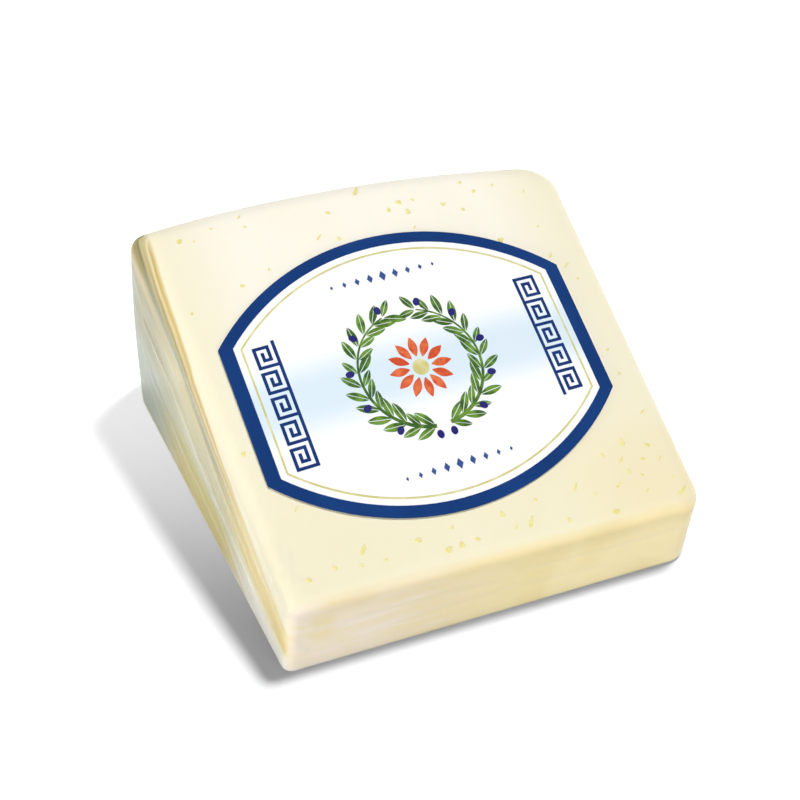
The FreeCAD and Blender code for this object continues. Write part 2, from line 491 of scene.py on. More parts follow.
@dataclass(frozen=True)
class CheeseFinish:
    """Pale paste on the cut faces, darker rind on the rim and on the wheel's flat ends, with painted shade,
    sheen and reflection laid into their colours.
    """

    half_width: float
    half_depth: float
    rim_height: float
    tip_height: float
    paste_back: Colour = linear(249, 244, 229)
    # The front and front right paste colours are paste darkened with painted shade.
    paste_front_painted_shade: Colour = linear(239, 232, 201)
    paste_corner_painted_shade: Colour = linear(238, 221, 176)
    tip: Colour = linear(235, 218, 170)
    tip_patch: Colour = linear(236, 218, 148)
    tip_right: Colour = linear(249, 232, 178)
    tip_tan: Colour = linear(226, 207, 150)
    # The pale tip colour is painted sheen of the film on the tip.
    tip_pale_painted_sheen: Colour = linear(244, 233, 220)
    # The back stops are rind colour darkened with painted shade and greyed with painted reflection; the
    # lowest front stops are almost white, a painted highlight on the rind.
    rind_back_and_painted_shade: tuple[tuple[float, Colour], ...] = (
        (0.00, linear(160, 160, 122)),
        (0.12, linear(138, 150, 134)),
        (0.38, linear(132, 144, 128)),
        (0.50, linear(134, 138, 108)),
        (0.60, linear(120, 114, 66)),
        (0.70, linear(130, 126, 80)),
        (0.78, linear(140, 138, 100)),
        (0.86, linear(134, 126, 76)),
        (1.00, linear(190, 166, 100)),
    )
    rind_middle: tuple[tuple[float, Colour], ...] = (
        (0.00, linear(210, 195, 108)),
        (0.20, linear(204, 187, 104)),
        (0.33, linear(196, 188, 122)),
        (0.42, linear(202, 200, 172)),
        (0.56, linear(196, 190, 148)),
        (0.74, linear(200, 192, 148)),
        (0.84, linear(210, 192, 124)),
        (1.00, linear(212, 188, 116)),
    )
    rind_front_and_painted_highlight: tuple[tuple[float, Colour], ...] = (
        (0.00, linear(250, 242, 212)),
        (0.16, linear(250, 246, 236)),
        (0.34, linear(248, 244, 230)),
        (0.54, linear(240, 230, 188)),
        (0.68, linear(232, 212, 142)),
        (0.88, linear(230, 206, 132)),
        (1.00, linear(236, 218, 162)),
    )
    rind_calm: Colour = linear(238, 224, 180)
    # Pale blue colour for a painted reflection on the back left corner of the end.
    rind_corner_painted_reflection: Colour = linear(166, 186, 200)
    # Pale and dark streak colours: painted sheen and painted shade of film folds.
    thread_painted_sheen: Colour = linear(212, 209, 178)
    thread_painted_shade: Colour = linear(168, 154, 92)
    lines_reach: float = 9.0 * MM
    edge_lines: tuple[tuple[float, Colour], ...] = (
        (0.00, linear(214, 188, 116)),
        (0.09, linear(206, 178, 104)),
        (0.17, linear(226, 208, 160)),
        (0.24, linear(222, 206, 160)),
        (0.32, linear(176, 156, 94)),
        (0.44, linear(196, 186, 142)),
        (0.56, linear(130, 124, 72)),
        (0.72, linear(144, 142, 104)),
        (0.86, linear(126, 120, 72)),
        (1.00, linear(138, 134, 94)),
    )

    def material(self) -> bpy.types.Material:
        """Build the material, which reads the slice's stored plan and height shares."""
        paint = Paint("cheese_paste_and_rind")
        across, along, level = paint.attribute("wrap")
        tone = paint.noise(38.0, 3.0)
        grain = paint.noise(900.0, 2.0)
        # Painted shade: the paste darkens towards the front and towards the left and right edges of the top
        # face, mixed with random tone.
        painted_shade_and_tone = along.ramp(0.9, -0.9) + (tone - 0.5) * 0.7
        painted_shade_and_tone = painted_shade_and_tone.math("MAXIMUM", across.math("ABSOLUTE").ramp(0.5, 0.95) * 0.8)
        paste = paint.mix(painted_shade_and_tone, self.paste_back, self.paste_front_painted_shade)
        # Painted shade: deeper, tanner paste towards the front right of the top face.
        paste = paint.mix(across.ramp(0.3, 0.75) * along.ramp(-0.4, -0.85) * 0.45, paste, self.paste_corner_painted_shade)
        streak = paint.noise(1.0, 3.0, paint.vector(across * 2.6, 0.0, level * 11.0))
        tip = paint.mix(across.ramp(-0.5, 0.5), self.tip, self.tip_right)
        # Painted sheen: the tip turns paler towards its left end.
        tip = paint.mix(across.ramp(-0.2, -0.8) * 0.6, tip, self.tip_pale_painted_sheen)
        tip = paint.mix(paint.noise(75.0, 3.0).ramp(0.5, 0.68) * 0.5, tip, self.tip_patch)
        # Painted sheen: pale level streaks on the tip's left part, as light on film wrinkles.
        tip = paint.mix(streak.ramp(0.42, 0.72) * across.ramp(0.1, -0.7) * 0.85, tip, self.tip_pale_painted_sheen)
        tip = paint.mix(level.ramp(0.62, 0.84) * tone.ramp(0.3, 0.7) * 0.6, tip, self.tip_tan)
        colour = paint.mix(along.ramp(-0.955, -0.995), paste, tip)
        tall = (along + 1) * ((self.rim_height - self.tip_height) / 2) + self.tip_height
        drop = (1 - level) * tall
        wander = (paint.noise(60.0, 3.0) - 0.5) * 2.4 * MM
        sinking = along * (-6.5 * MM) + 1.5 * MM + wander
        ends = []
        for inset, start in (((across + 1) * self.half_width, sinking),
                             ((1 - across) * self.half_width, wander + 2.5 * MM)):
            ends.append((drop - inset - start).ramp(-0.6 * MM, 0.9 * MM) * inset.ramp(5.0 * MM, 3.0 * MM))
        end = ends[0].math("MAXIMUM", ends[1]) * along.ramp(-0.998, -0.965)
        inset = (1 - along) * self.half_depth
        rim = (drop - inset - wander - 1.0 * MM).ramp(-0.6 * MM, 0.9 * MM) * inset.ramp(5.0 * MM, 3.0 * MM)
        nearest = (1 - across.math("ABSOLUTE")) * self.half_width
        rind = self.rind(paint, across, along, level, drop - sinking - nearest.math("MINIMUM", inset))
        colour = paint.mix(end.math("MAXIMUM", rim), colour, rind)
        shader = paint.surface(
            Base_Color=colour,
            Roughness=tone * 0.12 + 0.42,
            Specular_IOR_Level=0.3,
            Normal=paint.bump(grain, 0.00004, 0.5),
            Subsurface_Weight=0.10,
            Subsurface_Radius=(0.004, 0.003, 0.002),
            Subsurface_Scale=0.5,
        )
        return paint.close(shader.outputs[0])

    def rind(self, paint: Paint, across: Value, along: Value, level: Value,
             past: Value) -> bpy.types.NodeSocket:
        """Colour the rind in long bands that sink towards the tip, darkened with painted shade towards the
        back and lit with a painted highlight at the tip's foot.

        Args:
            paint: The material.
            across: Share of the width, from -1 at the left to 1 at the right.
            along: Share of the depth, from -1 at the tip to 1 at the rim.
            level: Share of the height.
            past: Distance below the edge of the paste.

        Returns:
            The rind's colour.
        """
        sunk = along.math("MINIMUM", 0.0) * 0.5 + 0.94
        lay = paint.noise(1.0, 2.0, paint.vector(along * 2.2, level * 5.0, 0.0)) - 0.5
        band = level / sunk + lay * 0.16
        places = band + (paint.noise(30.0, 3.0) - 0.5) * 0.10
        back = paint.bands(places, self.rind_back_and_painted_shade)
        middle = paint.bands(places, self.rind_middle)
        front = paint.bands(places, self.rind_front_and_painted_highlight)
        # Painted shade and highlight: the ends darken towards the back and turn pale towards the tip's foot.
        colour = paint.mix(along.ramp(0.15, 0.72), middle, back)
        colour = paint.mix(along.ramp(-0.18, -0.62), colour, front)
        lines = paint.bands(past / self.lines_reach + lay * 0.12, self.edge_lines)
        near = past.ramp(self.lines_reach, self.lines_reach * 2 / 3)
        colour = paint.mix(near * along.ramp(-0.45, 0.0), colour, lines)
        # Painted reflection: a pale blue tint over the back left corner of the end, below its top.
        corner = along.ramp(0.80, 0.98) * across.ramp(-0.70, -0.96) * level.ramp(0.95, 0.8) * 0.5
        colour = paint.mix(corner, colour, self.rind_corner_painted_reflection)
        # Painted sheen and shade: thin pale and dark streaks along the ends stand in for light on film folds.
        strong = along.ramp(-0.9, 0.0) * 0.7 + 0.3
        thread = paint.noise(1.0, 3.0, paint.vector(along * 1.5, past * 1100.0, 0.0))
        colour = paint.mix(thread.ramp(0.52, 0.68) * strong * 0.6, colour, self.thread_painted_sheen)
        colour = paint.mix(thread.ramp(0.46, 0.34) * strong * 0.6, colour, self.thread_painted_shade)
        calm = along.ramp(0.93, 0.99) * across.ramp(-0.9, -0.5)
        return paint.mix(calm.math("MAXIMUM", across.ramp(0.0, 0.8)) * 0.8, colour, self.rind_calm)


@dataclass(frozen=True)
class EyeFinish:
    """The moist yellow lining of a small eye or slit."""

    rim: Colour = linear(239, 230, 164)
    heart: Colour = linear(228, 216, 128)

    def material(self) -> bpy.types.Material:
        """Build the material."""
        paint = Paint("eye_lining")
        tone = paint.noise(700.0, 2.0)
        shader = paint.surface(
            Base_Color=paint.mix(tone.ramp(0.3, 0.7), self.rim, self.heart),
            Roughness=tone * 0.2 + 0.3,
        )
        return paint.close(shader.outputs[0])


@dataclass(frozen=True)
class FilmFinish:
    """Clear shrink film: glossy, and milky where it lies in folds."""

    milk: Colour = linear(244, 248, 249)
    gloss: float = 0.22
    mirror: float = 0.38

    def material(self) -> bpy.types.Material:
        """Build the material, which reads the film's stored folds."""
        paint = Paint("clear_shrink_film")
        fold, tuck, loose = paint.attribute("fold")
        wisps = paint.noise(160.0, 3.0)
        milky = fold * 0.20 + tuck * 0.35 + loose * wisps.ramp(0.45, 0.85) * 0.08
        milky = milky.math("MINIMUM", 0.7)
        relief = paint.bump(paint.noise(240.0, 2.0), 0.00012, 0.35)
        clear = paint.node("ShaderNodeBsdfTransparent")
        shine = paint.node(
            "ShaderNodeBsdfGlossy", Color=(1.0, 1.0, 1.0, 1.0), Roughness=self.gloss, Normal=relief)
        edge = Value(paint.tree, paint.node("ShaderNodeFresnel", IOR=1.45, Normal=relief).outputs[0])
        outside = 1 - Value(paint.tree, paint.node("ShaderNodeNewGeometry").outputs["Backfacing"])
        skin = paint.blend(edge * outside * self.mirror, clear, shine)
        veil = paint.surface(Base_Color=(*self.milk, 1.0), Roughness=0.25, Normal=relief)
        return paint.close(paint.blend(milky, skin, veil).outputs[0])


@dataclass(frozen=True)
class PaperFinish:
    """Bright white coated paper."""

    white: Colour = linear(252, 252, 253)
    cloudy: Colour = linear(240, 242, 246)

    def material(self) -> bpy.types.Material:
        """Build the material."""
        paint = Paint("coated_paper")
        fibre = paint.noise(FIBRES, 3.0)
        cloud = paint.noise(60.0, 2.0)
        shader = paint.surface(
            Base_Color=paint.mix(cloud * 0.03, self.white, self.cloudy),
            Roughness=fibre * 0.1 + 0.38,
            Normal=paint.bump(fibre, FIBRE_DEPTH, 0.3),
        )
        return paint.close(shader.outputs[0])


@dataclass(frozen=True)
class InkFinish:
    """One printed colour, laid a little unevenly on the paper."""

    name: str
    colour: Colour
    second: Colour
    patch: float

    def material(self) -> bpy.types.Material:
        """Build the material."""
        paint = Paint("ink_" + self.name)
        cloud = paint.noise(self.patch, 3.0)
        colour = paint.mix(cloud.ramp(0.38, 0.66), self.colour, self.second)
        return paint.printed(colour, 0.36, Specular_IOR_Level=0.05)


class Ink(Enum):
    """The inks of the label."""

    BORDER_BLUE = InkFinish("border_blue", linear(23, 57, 114), linear(26, 62, 122), 60.0)
    KEY_BLUE = InkFinish("key_blue", linear(27, 53, 110), linear(32, 60, 120), 200.0)
    OLIVE_VIOLET = InkFinish("olive_violet", linear(44, 40, 108), linear(50, 48, 120), 200.0)
    LEAF_GREEN = InkFinish("leaf_green", linear(62, 98, 44), linear(112, 152, 62), 420.0)
    TERRACOTTA = InkFinish("terracotta", linear(206, 82, 52), linear(228, 118, 74), 500.0)
    GOLD = InkFinish("gold", linear(206, 198, 128), linear(224, 218, 168), 260.0)
    LOZENGE_BLUE = InkFinish("lozenge_blue", linear(58, 84, 138), linear(66, 92, 148), 200.0)


@dataclass(frozen=True)
class WashFinish:
    """A pale blue field that fades into the bare paper above and below the label's middle."""

    blue: Colour = linear(214, 231, 243)
    pale: Colour = linear(252, 253, 255)
    edge: float = 12.0 * MM

    def material(self) -> bpy.types.Material:
        """Build the material, whose colour follows the label's own height."""
        paint = Paint("ink_wash")
        _, height, _ = paint.attribute("flat")
        cloud = paint.noise(90.0, 3.0)
        share = height.math("ABSOLUTE").ramp(self.edge, self.edge * 0.2) * (cloud * 0.14 + 0.85)
        return paint.printed(paint.mix(share, self.pale, self.blue), 0.38)


@dataclass(frozen=True)
class SealFinish:
    """Film pressed together: whiter and more matt than the film round it."""

    milk: Colour = linear(236, 238, 232)

    def material(self) -> bpy.types.Material:
        """Build the material."""
        paint = Paint("pressed_film")
        cloud = paint.noise(220.0, 2.0)
        veil = paint.surface(Base_Color=(*self.milk, 1.0), Roughness=cloud * 0.1 + 0.22)
        clear = paint.node("ShaderNodeBsdfTransparent")
        return paint.close(paint.blend(cloud * 0.25 + 0.2, clear, veil).outputs[0])


@dataclass(frozen=True)
class FloorFinish:
    """A white sweep that reads as pure white and takes a shadow that painted light fades towards the back."""

    white: Colour = linear(253, 253, 253)
    lift: float = 0.06
    lift_back: float = 0.62
    lift_right: float = 0.3
    near: float = -45.0 * MM
    far: float = 50.0 * MM
    right_start: float = 46.0 * MM
    right_end: float = 60.0 * MM
    grey: Colour = linear(248, 248, 249)

    def material(self) -> bpy.types.Material:
        """Build the material: plain matt white with light of its own for the camera, painted stronger towards
        the back and the right.
        """
        paint = Paint("white_floor")
        tone = paint.noise(3.0, 2.0)
        matt = paint.node(
            "ShaderNodeBsdfDiffuse",
            Color=paint.mix(tone * 0.05, self.white, self.grey),
            Roughness=0.4,
        )
        split = paint.node("ShaderNodeSeparateXYZ", Vector=paint.place)
        # Painted light: the camera-only glow grows towards the back and to the right, so the cast shadow
        # fades towards the back and the left lamp's shadow beside the right end is washed out.
        back = Value(paint.tree, split.outputs[1]).ramp(self.near, self.far)
        right = Value(paint.tree, split.outputs[0]).ramp(self.right_start, self.right_end)
        lift = back * (self.lift_back - self.lift) + right * self.lift_right + self.lift
        strength = seen_share(paint.tree) * lift
        glow = paint.node("ShaderNodeEmission", Color=(1.0, 1.0, 1.0, 1.0), Strength=strength)
        both = paint.node("ShaderNodeAddShader")
        paint.tree.links.new(matt.outputs[0], both.inputs[0])
        paint.tree.links.new(glow.outputs[0], both.inputs[1])
        return paint.close(both.outputs[0])


# --------------------------------------------------------------------------------------
# The slice's form
# --------------------------------------------------------------------------------------


class Side(Enum):
    """A face of the slice that folds of film can lie on."""

    LEFT = "left"
    RIGHT = "right"
    TIP = "tip"
    TOP = "top"
    RIM = "rim"


@dataclass
class SliceForm:
    """The rule that gives the slice's shape: a sector of a wheel lying on one cut face.

    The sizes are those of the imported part, and its place is read from the frame.
    """

    depth: float = 102.4 * MM
    tip_width: float = 100.0 * MM
    rim_width: float = 107.2 * MM
    tip_height: float = 19.3 * MM
    wedge_angle: float = math.radians(19.1)
    tip_lean: float = 0.9 * MM
    rim_bulge: float = 4.1 * MM
    crown: float = 1.4 * MM
    side_fall: float = 0.088
    tip_tuck: float = 0.65 * MM
    rim_tuck: float = 6.2 * MM
    left_splay: float = 1.1 * MM
    left_shoulder_radius: float = 2.8 * MM
    left_foot_radius: float = 9.0 * MM
    right_shoulder_radius: float = 7.3 * MM
    left_tip_radius: float = 2.4 * MM
    right_tip_radius: float = 5.2 * MM
    tip_top_radius: float = 3.0 * MM
    rim_top_radius: float = 5.6 * MM
    base_radius: float = 1.1 * MM
    label_off_x: float = -0.3 * MM
    middle_x: float = field(init=False)
    rim_y: float = field(init=False)

    def __post_init__(self) -> None:
        """Read the slice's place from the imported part."""
        label_low, label_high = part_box(LABEL)
        self.middle_x = (label_low.x + label_high.x) / 2 - self.label_off_x
        self.rim_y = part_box(PACK)[1].y

    @property
    def slope(self) -> float:
        """Rise of the upper cut face for each step back."""
        return math.tan(self.wedge_angle)

    @property
    def tip_y(self) -> float:
        """Where the tip face stands."""
        return self.rim_y - self.depth

    @property
    def axis_y(self) -> float:
        """Where the wheel's axis passes, at the height of the base."""
        return self.tip_y - self.tip_height / self.slope

    @property
    def wheel_radius(self) -> float:
        """Radius of the rim at mid width."""
        return self.rim_y - self.axis_y

    def left_x(self, y: float | Value, share: float | Value) -> float | Value:
        """Where the left end stands, whose foot is tucked in.

        Args:
            y: Place along the depth.
            share: Share of the end's height.

        Returns:
            The place across the width.
        """
        tuck = (y - self.tip_y) * ((self.rim_tuck - self.tip_tuck) / self.depth) + self.tip_tuck
        splay = (y - self.tip_y) * (self.left_splay / self.depth)
        return (self.middle_x - self.tip_width / 2) + tuck * (1 - share) - splay

    @property
    def splay(self) -> float:
        """How much further out the right end is for each step back."""
        return (self.rim_width - self.tip_width) / self.depth

    @property
    def rim_top_y(self) -> float:
        """Where the upper cut face meets the rim."""
        return self.axis_y + self.wheel_radius * math.cos(self.wedge_angle)

    def right_x(self, y: float) -> float:
        """Where the right end stands at a place along the depth."""
        return self.middle_x + self.tip_width / 2 + self.splay * (y - self.tip_y)

    def top_height(self, x: float | Value, y: float | Value) -> float | Value:
        """Height of the crowned upper cut face, for plain or varying numbers.

        Args:
            x: Place across the width.
            y: Place along the depth.

        Returns:
            The height above the base.
        """
        across = (x - self.middle_x) * (2 / self.tip_width)
        middle = (self.tip_y + self.rim_top_y) / 2
        along = (y - middle) * (1 / (self.rim_top_y - middle))
        plane = (y - self.axis_y) * self.slope * (1 - (x - self.middle_x) * (self.side_fall / self.tip_width))
        return plane + (1 - across * across) * (1 - along * along) * self.crown

    def on(self, side: Side, along: float, share: float) -> Vector:
        """A point on one face.

        Args:
            side: The face.
            along: Place along the depth on the two ends and the top, or across the width.
            share: Share of the face's height, or of the width on the top.

        Returns:
            The point.
        """
        if side is Side.LEFT:
            x = self.left_x(along, share)
            return Vector((x, along, share * self.top_height(x, along)))
        if side is Side.RIGHT:
            x = self.right_x(along)
            return Vector((x, along, share * self.top_height(x, along)))
        if side is Side.TIP:
            y = self.tip_y + self.tip_lean * (1 - share)
            return Vector((along, y, share * self.top_height(along, self.tip_y)))
        if side is Side.TOP:
            left = self.left_x(along, 1.0)
            x = left + share * (self.right_x(along) - left)
            return Vector((x, along, self.top_height(x, along)))
        angle = share * self.wedge_angle
        radius = self.wheel_radius - self.rim_bulge * (2 * along / self.rim_width) ** 2
        return Vector((along, self.axis_y + radius * math.cos(angle), radius * math.sin(angle)))

    def grow(self, growth: Growth, steps: tuple[int, int, int]) -> bpy.types.NodeSocket:
        """Lay out the slice in a node tree, as a box of squares bent to the rule.

        Args:
            growth: The tree.
            steps: Squares across the width, along the depth and up the height.

        Returns:
            The formed geometry, with its shares across, along and up stored as wrap.
        """
        tiny = 1e-6
        half = self.tip_width / 2
        box = growth.node(
            "GeometryNodeMeshCube",
            Size=(2.0, 2.0, 2.0),
            Vertices_X=growth.count("Squares Across", steps[0] + 1),
            Vertices_Y=growth.count("Squares Along", steps[1] + 1),
            Vertices_Z=growth.count("Squares Up", steps[2] + 1),
        )
        a, b, c = growth.parts(growth.node("GeometryNodeInputPosition").outputs[0])
        ring = a.math("ABSOLUTE").math("MAXIMUM", b.math("ABSOLUTE"))
        safe = ring.math("MAXIMUM", tiny)
        a, b = a / safe, b / safe
        level = (c + 1.0) / 2.0
        foot = growth.size("Left Foot Radius", self.left_foot_radius)
        shoulder = foot + (growth.size("Left Shoulder Radius", self.left_shoulder_radius) - foot) * level
        left = choose(b.above(0.0), shoulder, growth.size("Left Tip Radius", self.left_tip_radius))
        right = choose(b.above(0.0), growth.size("Right Shoulder Radius", self.right_shoulder_radius),
                       growth.size("Right Tip Radius", self.right_tip_radius))
        corner = choose(a.above(0.0), right, left) / half
        inner = 1 - corner
        hub_a = a.math("MINIMUM", inner).math("MAXIMUM", inner * -1.0)
        hub_b = b.math("MINIMUM", inner).math("MAXIMUM", inner * -1.0)
        out_a, out_b = a - hub_a, b - hub_b
        reach = corner / (out_a * out_a + out_b * out_b).math("SQRT").math("MAXIMUM", tiny)
        a, b = hub_a + out_a * reach, hub_b + out_b * reach
        upper = level.above(0.5)
        tip_edge = growth.size("Tip Top Radius", self.tip_top_radius)
        rim_edge = growth.size("Rim Top Radius", self.rim_top_radius)
        edge = tip_edge + (rim_edge - tip_edge) * ((b * ring + 1) / 2)
        edge = choose(upper, edge, growth.size("Base Radius", self.base_radius))
        depth = growth.size("Depth", self.depth)
        rough_y = (b * ring + 1.0) * depth / 2.0 + (self.tip_y - self.axis_y)
        tall = rough_y * self.slope
        inset = (1 - ring) * half
        drop = choose(upper, 1 - level, level) * tall
        hub_inset, hub_drop = inset.math("MAXIMUM", edge), drop.math("MAXIMUM", edge)
        off_inset, off_drop = inset - hub_inset, drop - hub_drop
        turn = edge / (off_inset * off_inset + off_drop * off_drop).math("SQRT").math("MAXIMUM", tiny)
        inset, drop = hub_inset + off_inset * turn, hub_drop + off_drop * turn
        ring = 1 - inset / half
        level = choose(upper, 1 - drop / tall, drop / tall)
        a, b = a * ring, b * ring
        angle = level * growth.size("Wedge Angle", self.wedge_angle)
        cosine = angle.math("COSINE")
        radius_tip = cosine.math("POWER", -1.0) * (self.tip_y - self.axis_y)
        radius_rim = a * a * growth.size("Rim Bulge", -self.rim_bulge) + self.wheel_radius
        back = (b + 1.0) / 2.0
        radius = radius_tip + (radius_rim - radius_tip) * back
        lean = (1 - level) * (1 - back) * growth.size("Tip Lean", self.tip_lean)
        y = radius * cosine + lean + self.axis_y
        right_end = (y - self.tip_y) * self.splay + (self.middle_x + half)
        left_end = self.left_x(y, level)
        x = (right_end - left_end) * ((a + 1.0) / 2.0) + left_end
        z = level * self.top_height(x, y)
        stored = growth.node(
            "GeometryNodeStoreNamedAttribute", {"data_type": "FLOAT_VECTOR"},
            Geometry=box.outputs[0], Name="wrap", Value=growth.vector(a, b, level),
        )
        return growth.node(
            "GeometryNodeSetPosition", Geometry=stored.outputs[0], Position=growth.vector(x, y, z),
        ).outputs[0]


# --------------------------------------------------------------------------------------
# The cheese and its film
# --------------------------------------------------------------------------------------


@dataclass
class CheeseBlock:
    """The portion itself, a hair inside the film."""

    form: SliceForm
    gap: float = 0.25 * MM
    squares: tuple[int, int, int] = (110, 110, 56)

    def finish(self) -> CheeseFinish:
        """The paste and rind, fitted to the slice's size."""
        form = self.form
        rim_height = (form.rim_top_y - form.axis_y) * form.slope
        return CheeseFinish(form.rim_width / 2, form.depth / 2, rim_height, form.tip_height)

    def build(self) -> bpy.types.Object:
        """Grow the block and dress it.

        Returns:
            The finished piece.
        """
        growth = Growth("cheese_block")
        shape = self.form.grow(growth, self.squares)
        inwards = growth.along_normal(growth.size("Gap", -self.gap))
        placed = growth.node("GeometryNodeSetPosition", Geometry=shape, Offset=inwards)
        piece = growth.run("cheese_block", placed.outputs[0], self.finish().material(), smooth=True)
        piece.visible_diffuse = False
        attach(piece, BODY)
        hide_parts(PACK)
        return piece


@dataclass(frozen=True)
class Fold:
    """One fold of film: the face it lies on, its run and how much it stands out.

    The run's points are places along the face, in millimetres, each with a share of the
    face's height.
    """

    side: Side
    run: tuple[Point, ...]
    proud: float


@dataclass
class FilmWrap:
    """The shrink film, tight on the cut faces and folded over the wheel's flat ends."""

    form: SliceForm
    squares: tuple[int, int, int] = (140, 140, 64)
    fold_reach: float = 0.9 * MM
    crease_reach: float = 0.5 * MM
    wave: float = 0.12 * MM
    folds: tuple[Fold, ...] = (
        Fold(Side.LEFT, ((31, 0.95), (20, 0.94), (3, 0.91), (-18, 0.80), (-40, 0.66)), 0.38),
        Fold(Side.LEFT, ((33, 0.63), (17, 0.61), (2, 0.49), (-9, 0.47), (-24, 0.37), (-40, 0.33)), 0.42),
        Fold(Side.LEFT, ((30, 0.36), (17, 0.30), (-1, 0.24), (-18, 0.22)), 0.30),
        Fold(Side.LEFT, ((-6, 0.72), (-20, 0.60), (-34, 0.50), (-45, 0.44)), 0.28),
        Fold(Side.RIGHT, ((36, 0.88), (10, 0.80), (-15, 0.70), (-41, 0.62)), 0.55),
        Fold(Side.RIGHT, ((34, 0.26), (10, 0.24), (-12, 0.17), (-36, 0.12)), 0.45),
        Fold(Side.TIP, ((-45, 0.62), (-26, 0.66), (-4, 0.60)), 0.12),
        Fold(Side.TIP, ((-34, 0.38), (-6, 0.44), (24, 0.36)), 0.10),
        Fold(Side.TIP, ((0, 0.70), (20, 0.62), (42, 0.66)), 0.12),
        Fold(Side.TOP, ((-36, 0.035), (-40, 0.030), (-45, 0.018)), 0.08),
        Fold(Side.TOP, ((-38, 0.055), (-42, 0.040), (-46, 0.034)), 0.07),
        Fold(Side.TOP, ((-42, 0.022), (-44, 0.045), (-46, 0.058)), 0.06),
        Fold(Side.TIP, ((-50, 0.86), (-47, 0.74), (-46, 0.58)), 0.16),
        Fold(Side.TIP, ((-51, 0.62), (-50, 0.44), (-47, 0.30)), 0.20),
        Fold(Side.RIM, ((-36, 0.72), (-8, 0.64), (30, 0.70)), 0.25),
        Fold(Side.RIM, ((-30, 0.30), (4, 0.36), (38, 0.30)), 0.22),
    )
    crease_seed: int = 11
    crease_count: int = 26

    def creases(self) -> tuple[Fold, ...]:
        """Short creases where the film gathers, near the upper ends of the tip's corners."""
        draw = random.Random(self.crease_seed)
        short = []
        for index in range(self.crease_count):
            side = Side.LEFT if index % 3 else Side.RIGHT
            along = draw.uniform(-47, -34) if index % 2 else draw.uniform(-30, 40)
            share = draw.uniform(0.3, 0.97)
            reach = draw.uniform(4, 11)
            fall = draw.uniform(0.02, 0.12)
            short.append(Fold(side, (
                (along, share), (along - reach / 2, share - fall * 0.4), (along - reach, share - fall),
            ), draw.uniform(0.10, 0.22)))
        return tuple(short)

    def lines(self, name: str, folds: Sequence[Fold]) -> bpy.types.Object:
        """Draw folds as smooth curves whose radius is how far they stand out.

        Args:
            name: Name of the helper object.
            folds: The folds.

        Returns:
            A curve object that only guides the film.
        """
        data = bpy.data.curves.new(name, "CURVE")
        data.dimensions = "3D"
        for fold in folds:
            spline = data.splines.new("NURBS")
            spline.points.add(len(fold.run) + 1)
            run = (fold.run[0], *fold.run, fold.run[-1])
            for index, (point, (along, share)) in enumerate(zip(spline.points, run)):
                point.co = (*self.form.on(fold.side, along * MM, share), 1.0)
                point.radius = 0.0 if index in (0, len(run) - 1) else fold.proud
            spline.order_u = 3
            spline.use_endpoint_u = True
        return put(name, data)

    def relief(self, growth: Growth, lines: bpy.types.NodeSocket, reach: Value) -> tuple[Value, Value]:
        """Measure how far the film stands out by a set of fold lines.

        Args:
            growth: The film's tree.
            lines: The fold curves.
            reach: How far a fold spreads to each side.

        Returns:
            The height in metres, and a share that is 1 on a full fold's crest.
        """
        points = growth.node("GeometryNodeResampleCurve", {"mode": "LENGTH"}, Curve=lines, Length=0.8 * MM)
        radius = growth.node("GeometryNodeInputRadius")
        kept = growth.node(
            "GeometryNodeStoreNamedAttribute", {"data_type": "FLOAT"},
            Geometry=points.outputs[0], Name="proud", Value=radius.outputs[0],
        )
        wires = growth.node("GeometryNodeCurveToMesh", Curve=kept.outputs[0])
        near = growth.node("GeometryNodeProximity", {"target_element": "EDGES"}, Geometry=wires.outputs[0])
        index = growth.node("GeometryNodeSampleNearest", Geometry=wires.outputs[0])
        stored = growth.node("GeometryNodeInputNamedAttribute", {"data_type": "FLOAT"}, Name="proud")
        proud = growth.node(
            "GeometryNodeSampleIndex", {"data_type": "FLOAT"},
            Geometry=wires.outputs[0], Value=stored.outputs[0], Index=index.outputs[0],
        )
        away = Value(growth.tree, near.outputs["Distance"]) / reach
        crest = (away * away * -1.0).math("EXPONENT")
        height = Value(growth.tree, proud.outputs[0]) * crest
        return height * MM, height * 2.0

    def build(self) -> bpy.types.Object:
        """Grow the film over the slice, lift it along its folds and dress it.

        Returns:
            The finished piece.
        """
        helpers = (self.lines("fold_lines", self.folds), self.lines("crease_lines", self.creases()))
        growth = Growth("film_wrap")
        shape = self.form.grow(growth, self.squares)
        fold_lines, crease_lines = growth.thing("Folds", helpers[0]), growth.thing("Creases", helpers[1])
        folds = self.relief(growth, fold_lines, growth.size("Fold Reach", self.fold_reach))
        creases = self.relief(growth, crease_lines, growth.size("Crease Reach", self.crease_reach))
        across, along, level = growth.parts(growth.stored("wrap"))
        ends = across.math("ABSOLUTE").ramp(0.96, 1.0) * level.ramp(0.0, 0.08)
        streak = growth.vector(across * 2.0 + along * 1.6, (level - along * 0.21) * 9.0, 0.0)
        sway = growth.noise(streak, 1.0, 2.0) - 0.5
        height = folds[0] + creases[0] + sway * ends * growth.size("Wave", self.wave)
        share = growth.vector(folds[1].math("MINIMUM", 1.0), creases[1].math("MINIMUM", 1.0), ends)
        marked = growth.node(
            "GeometryNodeStoreNamedAttribute", {"data_type": "FLOAT_VECTOR"},
            Geometry=shape, Name="fold", Value=share,
        )
        lifted = growth.node(
            "GeometryNodeSetPosition", Geometry=marked.outputs[0], Offset=growth.along_normal(height),
        )
        piece = growth.run("film_wrap", lifted.outputs[0], FilmFinish().material(), smooth=True)
        for helper in helpers:
            bpy.data.objects.remove(helper)
        piece.visible_diffuse = False
        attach(piece, BODY)
        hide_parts(PACK)
        return piece


